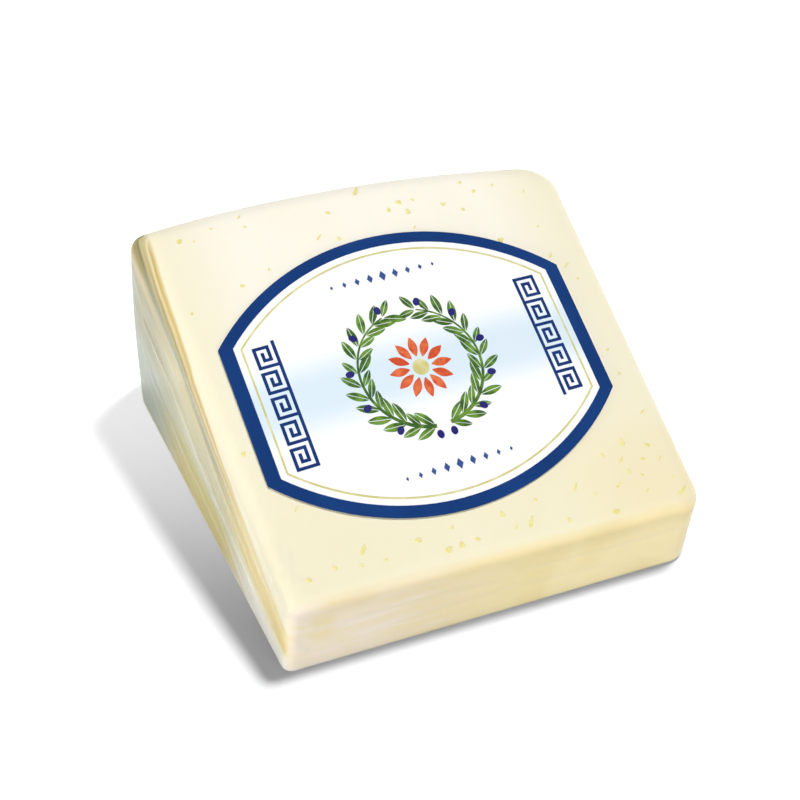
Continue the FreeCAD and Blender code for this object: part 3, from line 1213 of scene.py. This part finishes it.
@dataclass
class CurdEyes:
    """Small eyes and slits that the knife has opened in the upper cut face."""

    form: SliceForm
    block: bpy.types.Object
    seed: int = 4
    apart: float = 2.9 * MM
    density: float = 60000.0
    smallest: float = 0.38 * MM
    largest: float = 0.95 * MM

    def unit(self) -> bpy.types.Object:
        """One eye of radius 1: a low rim round a shallow dish."""
        rings = ((1.0, -0.10), (0.86, 0.10), (0.45, 0.05))
        sides = 10
        mesh = bmesh.new()
        rows = []
        for radius, height in rings:
            row = []
            for step in range(sides):
                turn = 2 * math.pi * step / sides
                wobble = radius * (1 + 0.12 * math.sin(3 * turn + 1.0))
                row.append(mesh.verts.new((wobble * math.cos(turn), wobble * math.sin(turn), height)))
            rows.append(row)
        for outer, inner in zip(rows, rows[1:]):
            for step in range(sides):
                after = (step + 1) % sides
                mesh.faces.new((outer[step], outer[after], inner[after], inner[step]))
        mesh.faces.new(rows[-1])
        mesh.faces.new(list(reversed(rows[0])))
        return put("eye_unit", closed("eye_unit", mesh))

    def build(self) -> bpy.types.Object:
        """Scatter the eyes over the open part of the cut face and dress them.

        Returns:
            The finished piece.
        """
        unit = self.unit()
        plane = LabelPlane(self.form)
        growth = Growth("curd_eyes")
        block = growth.thing("Block", self.block)
        across, along, level = growth.parts(growth.stored("wrap"))
        x, y, _ = growth.parts(growth.node("GeometryNodeInputPosition").outputs[0])
        open_face = level.above(0.992) * across.math("ABSOLUTE").ramp(0.94, 0.90)
        open_face = open_face * along.math("ABSOLUTE").ramp(0.95, 0.9)
        off_x = ((x - plane.middle.x) / (plane.width / 2 + 1.5 * MM)).math("ABSOLUTE")
        off_y = ((y - plane.middle.y) / math.cos(self.form.wedge_angle)).math("ABSOLUTE")
        rise = (1 - off_x * off_x) * plane.arch + (plane.side / 2 + 1.5 * MM)
        covered = (1 - off_x.above(1.0)) * rise.above(off_y)
        often = (1 - covered) * (1 - along.ramp(-0.8, 0.2) * 0.6) * (across.ramp(-0.9, 0.4) * 0.35 + 0.65)
        points = growth.node(
            "GeometryNodeDistributePointsOnFaces", {"distribute_method": "POISSON"},
            Mesh=block, Distance_Min=growth.size("Apart", self.apart),
            Density_Max=growth.size("Density", self.density), Density_Factor=open_face * often,
            Seed=growth.count("Seed", self.seed),
        )
        slit = growth.draw(0.0, 1.0, 3).above(0.62)
        size = growth.draw(0.0, 1.0, 5).math("POWER", 1.7) * (self.largest - self.smallest) + self.smallest
        turn = growth.node("ShaderNodeCombineXYZ", Z=choose(
            slit, growth.draw(0.55, 1.05, 7), growth.draw(0.0, 3.1, 9)))
        spin = growth.node("FunctionNodeEulerToRotation", Euler=turn.outputs[0])
        facing = growth.node(
            "FunctionNodeAlignRotationToVector", {"axis": "Z"},
            Rotation=spin.outputs[0], Vector=points.outputs["Normal"],
        )
        scale = growth.vector(size * choose(slit, 1.9, 1.1), size * choose(slit, 0.55, 0.8), size)
        eyes = growth.node(
            "GeometryNodeInstanceOnPoints", Points=points.outputs["Points"],
            Instance=growth.thing("Eye", unit), Rotation=facing.outputs[0], Scale=scale,
        )
        piece = growth.run("curd_eyes", eyes.outputs[0], EyeFinish().material(), smooth=True)
        bpy.data.objects.remove(unit)
        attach(piece, BODY)
        return piece


@dataclass
class HeatSeal:
    """The bag's sealed mouth: a crimped strip laid flat on the right end."""

    form: SliceForm
    length: float = 66.0 * MM
    width: float = 6.0 * MM
    thick: float = 0.4 * MM
    root: float = 0.3 * MM
    crimps: int = 44
    rows: int = 6
    middle_along: float = -2.0 * MM

    def build(self) -> bpy.types.Object:
        """Draw the strip flat with its crimps, and lay it on the end.

        Returns:
            The finished piece.
        """
        columns = self.crimps * 4
        mesh = bmesh.new()
        layers = []
        for base in (True, False):
            grid = []
            for row in range(self.rows + 1):
                across = row / self.rows * 2 - 1
                line = []
                for column in range(columns + 1):
                    along = column / columns * 2 - 1
                    line.append(mesh.verts.new(self.place(along, across, base)))
                grid.append(line)
            layers.append(grid)
        for grid in layers:
            for low, high in zip(grid, grid[1:]):
                for a, b, c, d in zip(low, low[1:], high, high[1:]):
                    mesh.faces.new((a, b, d, c))
        rims = [list(self.rim(grid)) for grid in layers]
        for (a, b), (c, d) in zip(self.steps(rims[0]), self.steps(rims[1])):
            mesh.faces.new((a, b, d, c))
        bmesh.ops.recalc_face_normals(mesh, faces=mesh.faces)
        data = closed("heat_seal", mesh)
        data.shade_smooth()
        data.materials.append(SealFinish().material())
        piece = put("heat_seal", data)
        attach(piece, BODY)
        return piece

    @staticmethod
    def rim(grid: list[list[bmesh.types.BMVert]]) -> list[bmesh.types.BMVert]:
        """The outline of a grid of points, once round."""
        right = [line[-1] for line in grid[1:-1]]
        left = [line[0] for line in grid[1:-1]]
        return [*grid[0], *right, *reversed(grid[-1]), *reversed(left)]

    @staticmethod
    def steps(rim: list[bmesh.types.BMVert]) -> list[tuple[bmesh.types.BMVert, bmesh.types.BMVert]]:
        """Each point of an outline with the next one."""
        return list(zip(rim, [*rim[1:], rim[0]]))

    def place(self, along: float, across: float, base: bool) -> Vector:
        """A point of the strip.

        Args:
            along: From -1 to 1 along the strip.
            across: From -1 to 1 across it.
            base: Whether the point is on the underside.

        Returns:
            The point, in the frame.
        """
        radius = self.width / 2
        reach = self.length / 2 - radius
        run = along * self.length / 2
        past = max(0.0, abs(run) - reach)
        half = math.sqrt(max(radius ** 2 - past ** 2, (0.18 * radius) ** 2))
        side = across * half
        height = -self.root
        if not base:
            crimp = 0.5 + 0.5 * math.cos(math.pi * self.crimps * along)
            edge = 1 - max(abs(across), abs(along)) ** 12
            height = (0.35 + 0.65 * crimp) * self.thick * edge
        tilt = self.form.wedge_angle / 2
        y = self.middle_along + run * math.cos(tilt) - side * math.sin(tilt)
        middle = self.form.top_height(self.form.middle_x, self.middle_along) / 2
        z = middle + run * math.sin(tilt) + side * math.cos(tilt)
        return Vector((self.form.right_x(y) + height, y, z))


# --------------------------------------------------------------------------------------
# The label
# --------------------------------------------------------------------------------------


@dataclass
class LabelPlane:
    """The label's own flat plane, u to the right and v up the slope, and where it lies."""

    form: SliceForm
    width: float = 85.5 * MM
    side: float = 33.4 * MM
    arch: float = 18.0 * MM
    paper: float = 0.2 * MM
    up_slope: float = 46.4 * MM
    turn: float = math.radians(2.4)
    skew: float = math.radians(5.0)
    border_side: float = 3.2 * MM
    border_arch: float = 2.7 * MM

    @property
    def radius(self) -> float:
        """Radius of the two arched edges."""
        return ((self.width / 2) ** 2 + self.arch ** 2) / (2 * self.arch)

    @property
    def hub(self) -> float:
        """How far past the label's middle each arch has its centre."""
        return self.radius - self.arch - self.side / 2

    @property
    def middle(self) -> Vector:
        """The label's middle, on the cut face."""
        x = self.form.middle_x + self.form.label_off_x
        y = self.form.tip_y + self.up_slope * math.cos(self.form.wedge_angle)
        return Vector((x, y, self.form.top_height(x, y)))

    def point(self, flat: Vector) -> Vector:
        """Lay a flat point on the label.

        Args:
            flat: Its u, v and height above the paper.

        Returns:
            The point, in the frame.
        """
        tilt = self.form.wedge_angle
        out = Vector((0.0, -math.sin(tilt), math.cos(tilt)))
        middle = self.middle
        leant = flat.x + flat.y * math.tan(self.skew)
        across = leant * math.cos(self.turn) - flat.y * math.sin(self.turn)
        up = leant * math.sin(self.turn) + flat.y * math.cos(self.turn)
        base = middle + Vector((across, up * math.cos(tilt), up * math.sin(tilt)))
        rise = 0.0
        for _ in range(4):
            spot = base + out * rise
            rise += (self.form.top_height(spot.x, spot.y) - spot.z) * math.cos(tilt)
        return base + out * (rise + self.paper + flat.z)

    def lay(self, piece: bpy.types.Object) -> None:
        """Lay a flat piece on the label, and keep its flat places for its finish.

        Args:
            piece: The piece, whose mesh changes.
        """
        mesh = piece.data
        kept = mesh.attributes.new("flat", "FLOAT_VECTOR", "POINT")
        for index, vertex in enumerate(mesh.vertices):
            kept.data[index].vector = vertex.co
            vertex.co = self.point(vertex.co)


class Stencil:
    """Flat shapes drawn in the label's plane, in millimetres."""

    def __init__(self, name: str) -> None:
        """Start an empty drawing.

        Args:
            name: Name of the helper object that will hold it.
        """
        self.name = name
        self.mesh = bmesh.new()

    def patch(self, points: Sequence[Point]) -> None:
        """Draw one closed shape, given anticlockwise."""
        self.mesh.faces.new([self.mesh.verts.new((u * MM, v * MM, 0.0)) for u, v in points])

    def strip(self, first: Sequence[Point], second: Sequence[Point], rows: int = 1,
              joined: bool = False) -> None:
        """Draw the band between two lines that have the same number of points.

        Args:
            first: The lower or inner line.
            second: The upper or outer line.
            rows: Rows of squares between them.
            joined: Whether the band joins up with its own start.
        """
        grid = []
        for row in range(rows + 1):
            share = row / rows
            grid.append([
                self.mesh.verts.new(((a + (c - a) * share) * MM, (b + (d - b) * share) * MM, 0.0))
                for (a, b), (c, d) in zip(first, second)
            ])
        for low, high in zip(grid, grid[1:]):
            if joined:
                low, high = [*low, low[0]], [*high, high[0]]
            for a, b, c, d in zip(low, low[1:], high, high[1:]):
                self.mesh.faces.new((a, b, d, c))

    def disc(self, middle: Point, radius: float, sides: int = 20, squash: float = 1.0) -> None:
        """Draw a disc or an ellipse."""
        turns = [2 * math.pi * step / sides for step in range(sides)]
        tall = radius * squash
        self.patch([(middle[0] + radius * math.cos(t), middle[1] + tall * math.sin(t)) for t in turns])

    def cells(self, pattern: Sequence[str], size: float) -> None:
        """Draw a square for each # of a pattern whose first line is its top.

        Args:
            pattern: The lines of the pattern.
            size: Side of a square.
        """
        for row, line in enumerate(reversed(pattern)):
            for column, mark in enumerate(line):
                if mark == "#":
                    left, low, right, high = (step * size for step in (column, row, column + 1, row + 1))
                    self.patch(((left, low), (right, low), (right, high), (left, high)))

    def helper(self) -> bpy.types.Object:
        """Close the drawing.

        Returns:
            A flat object that faces up, for use in a node tree.
        """
        bmesh.ops.remove_doubles(self.mesh, verts=self.mesh.verts, dist=1e-7)
        self.mesh.normal_update()
        bmesh.ops.reverse_faces(self.mesh, faces=[face for face in self.mesh.faces if face.normal.z < 0])
        return put(self.name, closed(self.name, self.mesh))


Placing = tuple[bpy.types.NodeSocket, "Value | float", "Value | float"]
Rule = Callable[[Growth, Value], Placing]

ARCH_STEPS = 40
SIDE_STEPS = 10


@dataclass
class LabelPrint:
    """Everything printed on the label. Sizes are in millimetres on its flat plane."""

    plane: LabelPlane
    made: list[bpy.types.Object] = field(default_factory=list)

    def press(self, name: str, growth: Growth, flat: bpy.types.NodeSocket, layer: int,
              finish: bpy.types.Material, helpers: Sequence[bpy.types.Object],
              sunk: float = 0.01) -> None:
        """Give flat shapes the thickness of a print, and lay them on the label.

        Args:
            name: The piece's name.
            growth: The tree that holds the shapes.
            flat: The shapes.
            layer: Which layer of the print it is, from 1 upwards.
            finish: Its ink.
            helpers: Objects that the tree used, removed afterwards.
            sunk: How far it reaches below the paper's face, in millimetres.
        """
        height = growth.size("Print Height", (0.012 + 0.008 * layer) * MM)
        real = growth.node("GeometryNodeRealizeInstances", Geometry=flat)
        merged = growth.node("GeometryNodeMergeByDistance", Geometry=real.outputs[0], Distance=1e-6)
        down = growth.vector(0.0, 0.0, -sunk * MM)
        base = growth.node("GeometryNodeSetPosition", Geometry=merged.outputs[0], Offset=down)
        up = growth.vector(0.0, 0.0, height + sunk * MM)
        raised = growth.node("GeometryNodeExtrudeMesh", Mesh=base.outputs[0], Offset=up, Individual=False)
        under = growth.node("GeometryNodeFlipFaces", Mesh=base.outputs[0])
        both = growth.node("GeometryNodeJoinGeometry")
        growth.tree.links.new(raised.outputs[0], both.inputs[0])
        growth.tree.links.new(under.outputs[0], both.inputs[0])
        whole = growth.node("GeometryNodeMergeByDistance", Geometry=both.outputs[0], Distance=1e-6)
        piece = growth.run(name, whole.outputs[0], finish)
        for helper in helpers:
            bpy.data.objects.remove(helper)
        self.plane.lay(piece)
        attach(piece, BODY)
        self.made.append(piece)

    def stamp(self, stencil: Stencil, layer: int, finish: bpy.types.Material, sunk: float = 0.01) -> None:
        """Print a stencil as it is drawn.

        Args:
            stencil: The drawing, whose name becomes the piece's.
            layer: Which layer of the print it is.
            finish: Its ink.
            sunk: How far it reaches below the paper's face, in millimetres.
        """
        helper = stencil.helper()
        growth = Growth(stencil.name)
        helper.name = stencil.name + "_drawing"
        self.press(stencil.name, growth, growth.thing("Drawing", helper), layer, finish, (helper,), sunk)

    def outline(self, side: float, arch: float) -> list[Point]:
        """Draw a line that runs inside the label's outline.

        Args:
            side: How far inside the straight sides.
            arch: How far inside the arches.

        Returns:
            Its points, anticlockwise, in millimetres.
        """
        half, radius = self.plane.width / 2 - side, self.plane.radius - arch
        rise = math.sqrt(radius ** 2 - half ** 2) - self.plane.hub
        swing = math.asin(half / radius)
        turns = [swing * (1 - 2 * step / ARCH_STEPS) for step in range(ARCH_STEPS + 1)]
        upper = [(radius * math.sin(turn), radius * math.cos(turn) - self.plane.hub) for turn in turns]
        sides = [rise * (1 - 2 * step / SIDE_STEPS) for step in range(1, SIDE_STEPS)]
        lower = [(-u, -v) for u, v in upper]
        left, right = [(-half, v) for v in sides], [(half, -v) for v in sides]
        return [(u / MM, v / MM) for u, v in (*upper, *left, *lower, *right)]

    def border(self) -> None:
        """The dark blue border and the thin gold line inside it."""
        side, arch = self.plane.border_side, self.plane.border_arch
        over, gap, line = 0.06 * MM, 1.5 * MM, 0.45 * MM
        gold = Stencil("label_hairline")
        inner = self.outline(side + gap + line, arch + gap + line)
        gold.strip(inner, self.outline(side + gap, arch + gap), joined=True)
        self.stamp(gold, 2, Ink.GOLD.value.material())
        blue = Stencil("label_border")
        blue.strip(self.outline(side, arch), self.outline(-over, -over), joined=True)
        self.stamp(blue, 6, Ink.BORDER_BLUE.value.material(), 0.18)

    def wash(self) -> None:
        """A pale blue field across the middle, from border to border."""
        half = (self.plane.width / 2 - self.plane.border_side) / MM + 0.3
        tall, columns = 12.0, 80
        places = [half * (2 * step / columns - 1) for step in range(columns + 1)]
        stencil = Stencil("label_wash")
        stencil.strip([(u, -tall) for u in places], [(u, tall) for u in places], rows=12)
        self.stamp(stencil, 1, WashFinish(edge=tall * MM).material())

    def repeat(self, name: str, unit: Stencil, count: int, layer: int, ink: Ink, rule: Rule) -> None:
        """Print one shape many times, each placed from its number.

        Args:
            name: The piece's name.
            unit: The shape.
            count: How many there are.
            layer: Which layer of the print it is.
            ink: Its ink.
            rule: Gives the place, the turn and the size for a number.
        """
        helper = unit.helper()
        growth = Growth(name)
        number = growth.count("Count", count)
        line = growth.node("GeometryNodeMeshLine", Count=number, Offset=(0.0, 0.0, 0.0))
        index = Value(growth.tree, growth.node("GeometryNodeInputIndex").outputs[0])
        place, turn, size = rule(growth, index)
        moved = growth.node("GeometryNodeSetPosition", Geometry=line.outputs[0], Position=place)
        units = growth.node(
            "GeometryNodeInstanceOnPoints", Points=moved.outputs[0], Instance=growth.thing("Unit", helper),
            Rotation=growth.vector(0.0, 0.0, turn), Scale=growth.vector(size, size, 1.0),
        )
        self.press(name, growth, units.outputs[0], layer, ink.value.material(), (helper,))

    def key_bands(self) -> None:
        """Two upright bands of plain Greek key, one by each straight side."""
        cell, keys, inset = 0.78, 5, 30.2 * MM
        pitch = 8 * cell * MM
        unit = Stencil("key_unit")
        unit.cells((
            "#######.",
            "#.....#.",
            "#.###.#.",
            "#.#...#.",
            "#.#####.",
            "#.......",
            "########",
        ), cell)

        def rule(growth: Growth, index: Value) -> Placing:
            """Stack the keys, and turn the left band half a turn from the right one."""
            right = (index / float(keys)).math("FLOOR") * 2.0 - 1.0
            level = index.math("MODULO", float(keys)) * -pitch + pitch * keys / 2
            return growth.vector(right * inset, right * level, 0.0), right * (-math.pi / 2), 1.0

        self.repeat("label_key_bands", unit, 2 * keys, 2, Ink.KEY_BLUE, rule)

    def rosette(self) -> None:
        """A rosette of pointed petals round a gold boss, in the middle."""
        petals, steps = 12, 8
        unit = Stencil("petal_unit")
        line = [2.7 + 4.9 * step / steps for step in range(steps + 1)]
        half = [1.05 * math.sin(math.pi * (0.03 + 0.94 * step / steps)) for step in range(steps + 1)]
        unit.strip([(u, -v) for u, v in zip(line, half)], [(u, v) for u, v in zip(line, half)])

        def rule(growth: Growth, index: Value) -> Placing:
            """Turn each petal about the middle."""
            return growth.vector(0.0, 0.0, 0.0), index * (2 * math.pi / petals), 1.0

        self.repeat("label_petals", unit, petals, 3, Ink.TERRACOTTA, rule)
        boss = Stencil("label_boss")
        boss.disc((0.0, 0.0), 2.0, 28)
        self.stamp(boss, 3, Ink.GOLD.value.material())

    def lozenges(self) -> None:
        """A straight row of diamonds above the wreath and one below it, smaller towards their ends."""
        row, pitch, away = 9, 3.2 * MM, 24.3 * MM
        unit = Stencil("lozenge_unit")
        unit.patch(((-0.86, 0.0), (0.0, -1.35), (0.86, 0.0), (0.0, 1.35)))

        def rule(growth: Growth, index: Value) -> Placing:
            """Set out the two rows from their middles."""
            upper = (index / float(row)).math("FLOOR") * 2.0 - 1.0
            step = index.math("MODULO", float(row)) - (row - 1) / 2
            size = 1 - step.math("ABSOLUTE") * 0.15
            return growth.vector(step * pitch, upper * away, 0.0), 0.0, size

        self.repeat("label_lozenges", unit, 2 * row, 2, Ink.LOZENGE_BLUE, rule)

    def stems(self) -> bpy.types.Object:
        """Bend the stems of two sprigs round the middle, from below to above.

        Returns:
            A helper with both flat curves.
        """
        radius, start, end, steps = 14.6 * MM, math.radians(7.0), math.radians(163.0), 32
        data = bpy.data.curves.new("stems", "CURVE")
        for side in (-1, 1):
            spline = data.splines.new("POLY")
            spline.points.add(steps)
            for step, point in enumerate(spline.points):
                turn = start + (end - start) * step / steps
                point.co = (side * radius * math.sin(turn), -radius * math.cos(turn), 0.0, 1.0)
        return put("stems", data)

    @staticmethod
    def along(growth: Growth, stems: bpy.types.NodeSocket, name: str,
              count: int) -> tuple[bpy.types.NodeSocket, Value]:
        """Set points evenly along each stem.

        Args:
            growth: The tree.
            stems: The curves.
            name: Name of the input that holds the count.
            count: How many points each stem gets.

        Returns:
            The points, and the way that the stem heads at each.
        """
        number = growth.count(name, count)
        even = growth.node("GeometryNodeResampleCurve", {"mode": "COUNT"}, Curve=stems, Count=number)
        tangent = growth.parts(growth.node("GeometryNodeInputTangent").outputs[0])
        kept = growth.node(
            "GeometryNodeStoreNamedAttribute", {"data_type": "FLOAT"},
            Geometry=even.outputs[0], Name="heading", Value=tangent[1].math("ARCTAN2", tangent[0]),
        )
        points = growth.node("GeometryNodeCurveToPoints", {"mode": "EVALUATED"}, Curve=kept.outputs[0])
        heading = growth.node("GeometryNodeInputNamedAttribute", {"data_type": "FLOAT"}, Name="heading")
        return points.outputs[0], Value(growth.tree, heading.outputs[0])

    def wreath(self) -> None:
        """An open wreath of two olive sprigs with paired leaves and a few fruits."""
        leaf, steps = Stencil("leaf_unit"), 8
        for side in (1, -1):
            inner = [(0.5 + 5.4 * step / steps, side * 0.07) for step in range(steps + 1)]
            outer = [(u, side * (0.07 + 0.92 * math.sin(math.pi * step / steps) ** 0.8))
                     for step, (u, _) in enumerate(inner)]
            leaf.strip(*((inner, outer) if side > 0 else (outer, inner)))
        helpers = [leaf.helper(), self.stems()]
        growth = Growth("label_leaves")
        stems, shape = growth.thing("Stems", helpers[1]), growth.thing("Leaf", helpers[0])
        points, heading = self.along(growth, stems, "Leaves", 13)
        joined = growth.node("GeometryNodeJoinGeometry")
        for side, seed in ((1.0, 1), (-1.0, 2)):
            lean, size = growth.draw(0.52, 0.78, seed), growth.draw(0.78, 1.08, seed + 10)
            arms = growth.node(
                "GeometryNodeInstanceOnPoints", Points=points, Instance=shape,
                Rotation=growth.vector(0.0, 0.0, heading + lean * side), Scale=growth.vector(size, size, 1.0),
            )
            growth.tree.links.new(arms.outputs[0], joined.inputs[0])
        taper = Value(growth.tree, growth.node("GeometryNodeSplineParameter").outputs[0])
        ribbon = self.ribbon(growth, stems, (1 - taper) * 0.32 * MM + 0.16 * MM)
        growth.tree.links.new(ribbon, joined.inputs[0])
        ink = Ink.LEAF_GREEN.value.material()
        self.press("label_leaves", growth, joined.outputs[0], 2, ink, helpers)
        self.fruits()

    def fruits(self) -> None:
        """Dark olives between the outer leaves of the wreath."""
        fruit = Stencil("fruit_unit")
        fruit.disc((2.1, 0.0), 1.05, 16, 0.78)
        helpers = [fruit.helper(), self.stems()]
        growth = Growth("label_fruits")
        points, _ = self.along(growth, growth.thing("Stems", helpers[1]), "Fruits", 6)
        x, y, _ = growth.parts(growth.node("GeometryNodeInputPosition").outputs[0])
        outwards = y.math("ARCTAN2", x) + growth.draw(-0.25, 0.25, 3)
        hung = growth.node(
            "GeometryNodeInstanceOnPoints", Points=points, Instance=growth.thing("Fruit", helpers[0]),
            Rotation=growth.vector(0.0, 0.0, outwards),
        )
        self.press("label_fruits", growth, hung.outputs[0], 4, Ink.OLIVE_VIOLET.value.material(), helpers)

    @staticmethod
    def ribbon(growth: Growth, stem: bpy.types.NodeSocket, width: Value) -> bpy.types.NodeSocket:
        """Turn a flat curve into a flat ribbon.

        Args:
            growth: The tree.
            stem: The curve.
            width: Half the ribbon's width along it.

        Returns:
            The ribbon, one row of squares that face up.
        """
        even = growth.node("GeometryNodeResampleCurve", {"mode": "COUNT"}, Curve=stem, Count=60)
        upright = growth.node("GeometryNodeSetCurveNormal", {"mode": "Z_UP"}, Curve=even.outputs[0])
        line = growth.node(
            "GeometryNodeCurvePrimitiveLine", {"mode": "POINTS"}, Start=(-1.0, 0.0, 0.0), End=(1.0, 0.0, 0.0))
        body = growth.node(
            "GeometryNodeCurveToMesh", Curve=upright.outputs[0], Profile_Curve=line.outputs[0], Scale=width)
        return body.outputs[0]

    def build(self) -> list[bpy.types.Object]:
        """Print every part of the label.

        Returns:
            The finished pieces.
        """
        self.wash()
        self.key_bands()
        self.wreath()
        self.rosette()
        self.lozenges()
        self.border()
        return self.made


# --------------------------------------------------------------------------------------
# The studio
# --------------------------------------------------------------------------------------


@dataclass(frozen=True)
class Lamp:
    """A large far lamp. Its azimuth turns from the front towards the right."""

    name: str
    azimuth: float
    elevation: float
    level: float
    spread: float
    glints: bool = True


@dataclass
class Studio:
    """Camera, lamps, a white surround and a white floor."""

    azimuth: float = -30.993
    elevation: float = 40.379
    roll: float = 7.361
    distance: float = 0.520
    lens: float = 104.78
    aim: tuple[float, float, float] = (-3.23 * MM, -0.18 * MM, 20.61 * MM)
    ambient: float = 0.10
    floor_side: float = 3.0
    lamps: tuple[Lamp, ...] = (
        Lamp("key", 97.0, 76.0, 0.79, 11.0, glints=False),
        Lamp("front_fill", 12.0, 12.0, 0.30, 40.0),
        Lamp("left_fill", -76.0, 5.0, 0.62, 16.0),
    )

    @staticmethod
    def direction(azimuth: float, elevation: float) -> Vector:
        """The direction towards a place round the object, given in degrees."""
        turn, rise = math.radians(azimuth), math.radians(elevation)
        return Vector((math.sin(turn) * math.cos(rise), -math.cos(turn) * math.cos(rise), math.sin(rise)))

    def camera(self) -> None:
        """Place the camera."""
        back = self.direction(self.azimuth, self.elevation)
        level = Vector((0.0, 0.0, 1.0)).cross(back).normalized()
        up = back.cross(level)
        roll = math.radians(self.roll)
        right = level * math.cos(roll) + up * math.sin(roll)
        top = up * math.cos(roll) - level * math.sin(roll)
        data = bpy.data.cameras.new("camera")
        data.lens = self.lens
        data.sensor_width = 36.0
        data.clip_start = 0.01
        camera = put("camera", data)
        turn = Matrix((right, top, back)).transposed().to_4x4()
        camera.matrix_world = Matrix.Translation(Vector(self.aim) + back * self.distance) @ turn
        bpy.context.scene.camera = camera

    def light(self) -> None:
        """Place the lamps and the surround."""
        for lamp in self.lamps:
            data = bpy.data.lights.new(lamp.name, "SUN")
            data.energy = lamp.level * math.pi
            data.angle = math.radians(lamp.spread)
            source = put(lamp.name, data)
            towards = self.direction(lamp.azimuth, lamp.elevation)
            turn = towards.to_track_quat("Z", "Y").to_matrix().to_4x4()
            source.matrix_world = Matrix.Translation(towards * 2) @ turn
            source.visible_glossy = lamp.glints
        world = bpy.data.worlds.new("surround")
        bpy.context.scene.world = world
        world.use_nodes = True
        tree = world.node_tree
        tree.nodes.clear()
        white = tree.nodes.new("ShaderNodeBackground")
        white.inputs["Color"].default_value = (1.0, 1.0, 1.0, 1.0)
        feed(tree, white.inputs["Strength"], seen_share(tree) * (1 - self.ambient) + self.ambient)
        out = tree.nodes.new("ShaderNodeOutputWorld")
        tree.links.new(white.outputs[0], out.inputs["Surface"])

    def floor(self) -> None:
        """Lay the floor."""
        mesh = bmesh.new()
        bmesh.ops.create_grid(mesh, x_segments=4, y_segments=4, size=self.floor_side / 2)
        data = closed("floor", mesh)
        data.materials.append(FloorFinish().material())
        floor = put("floor", data)

    def build(self) -> None:
        """Set up the whole studio with plain colour settings."""
        self.camera()
        self.light()
        self.floor()
        bpy.context.scene.view_settings.view_transform = "Standard"


def main() -> None:
    """Build the pieces in order and report each one."""
    logging.basicConfig(level=logging.INFO, format="%(name)s: %(message)s")
    Studio().build()
    form = SliceForm()
    block = CheeseBlock(form).build()
    pieces = [block, FilmWrap(form).build(), CurdEyes(form, block).build(), HeatSeal(form).build()]
    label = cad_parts[LABEL]
    label.data.materials.clear()
    label.data.materials.append(PaperFinish().material())
    pieces += [label, *LabelPrint(LabelPlane(form)).build()]
    for piece in pieces:
        log.info("%s: %d faces", piece.name, len(piece.data.polygons))


if __name__ == "__main__":
    main()
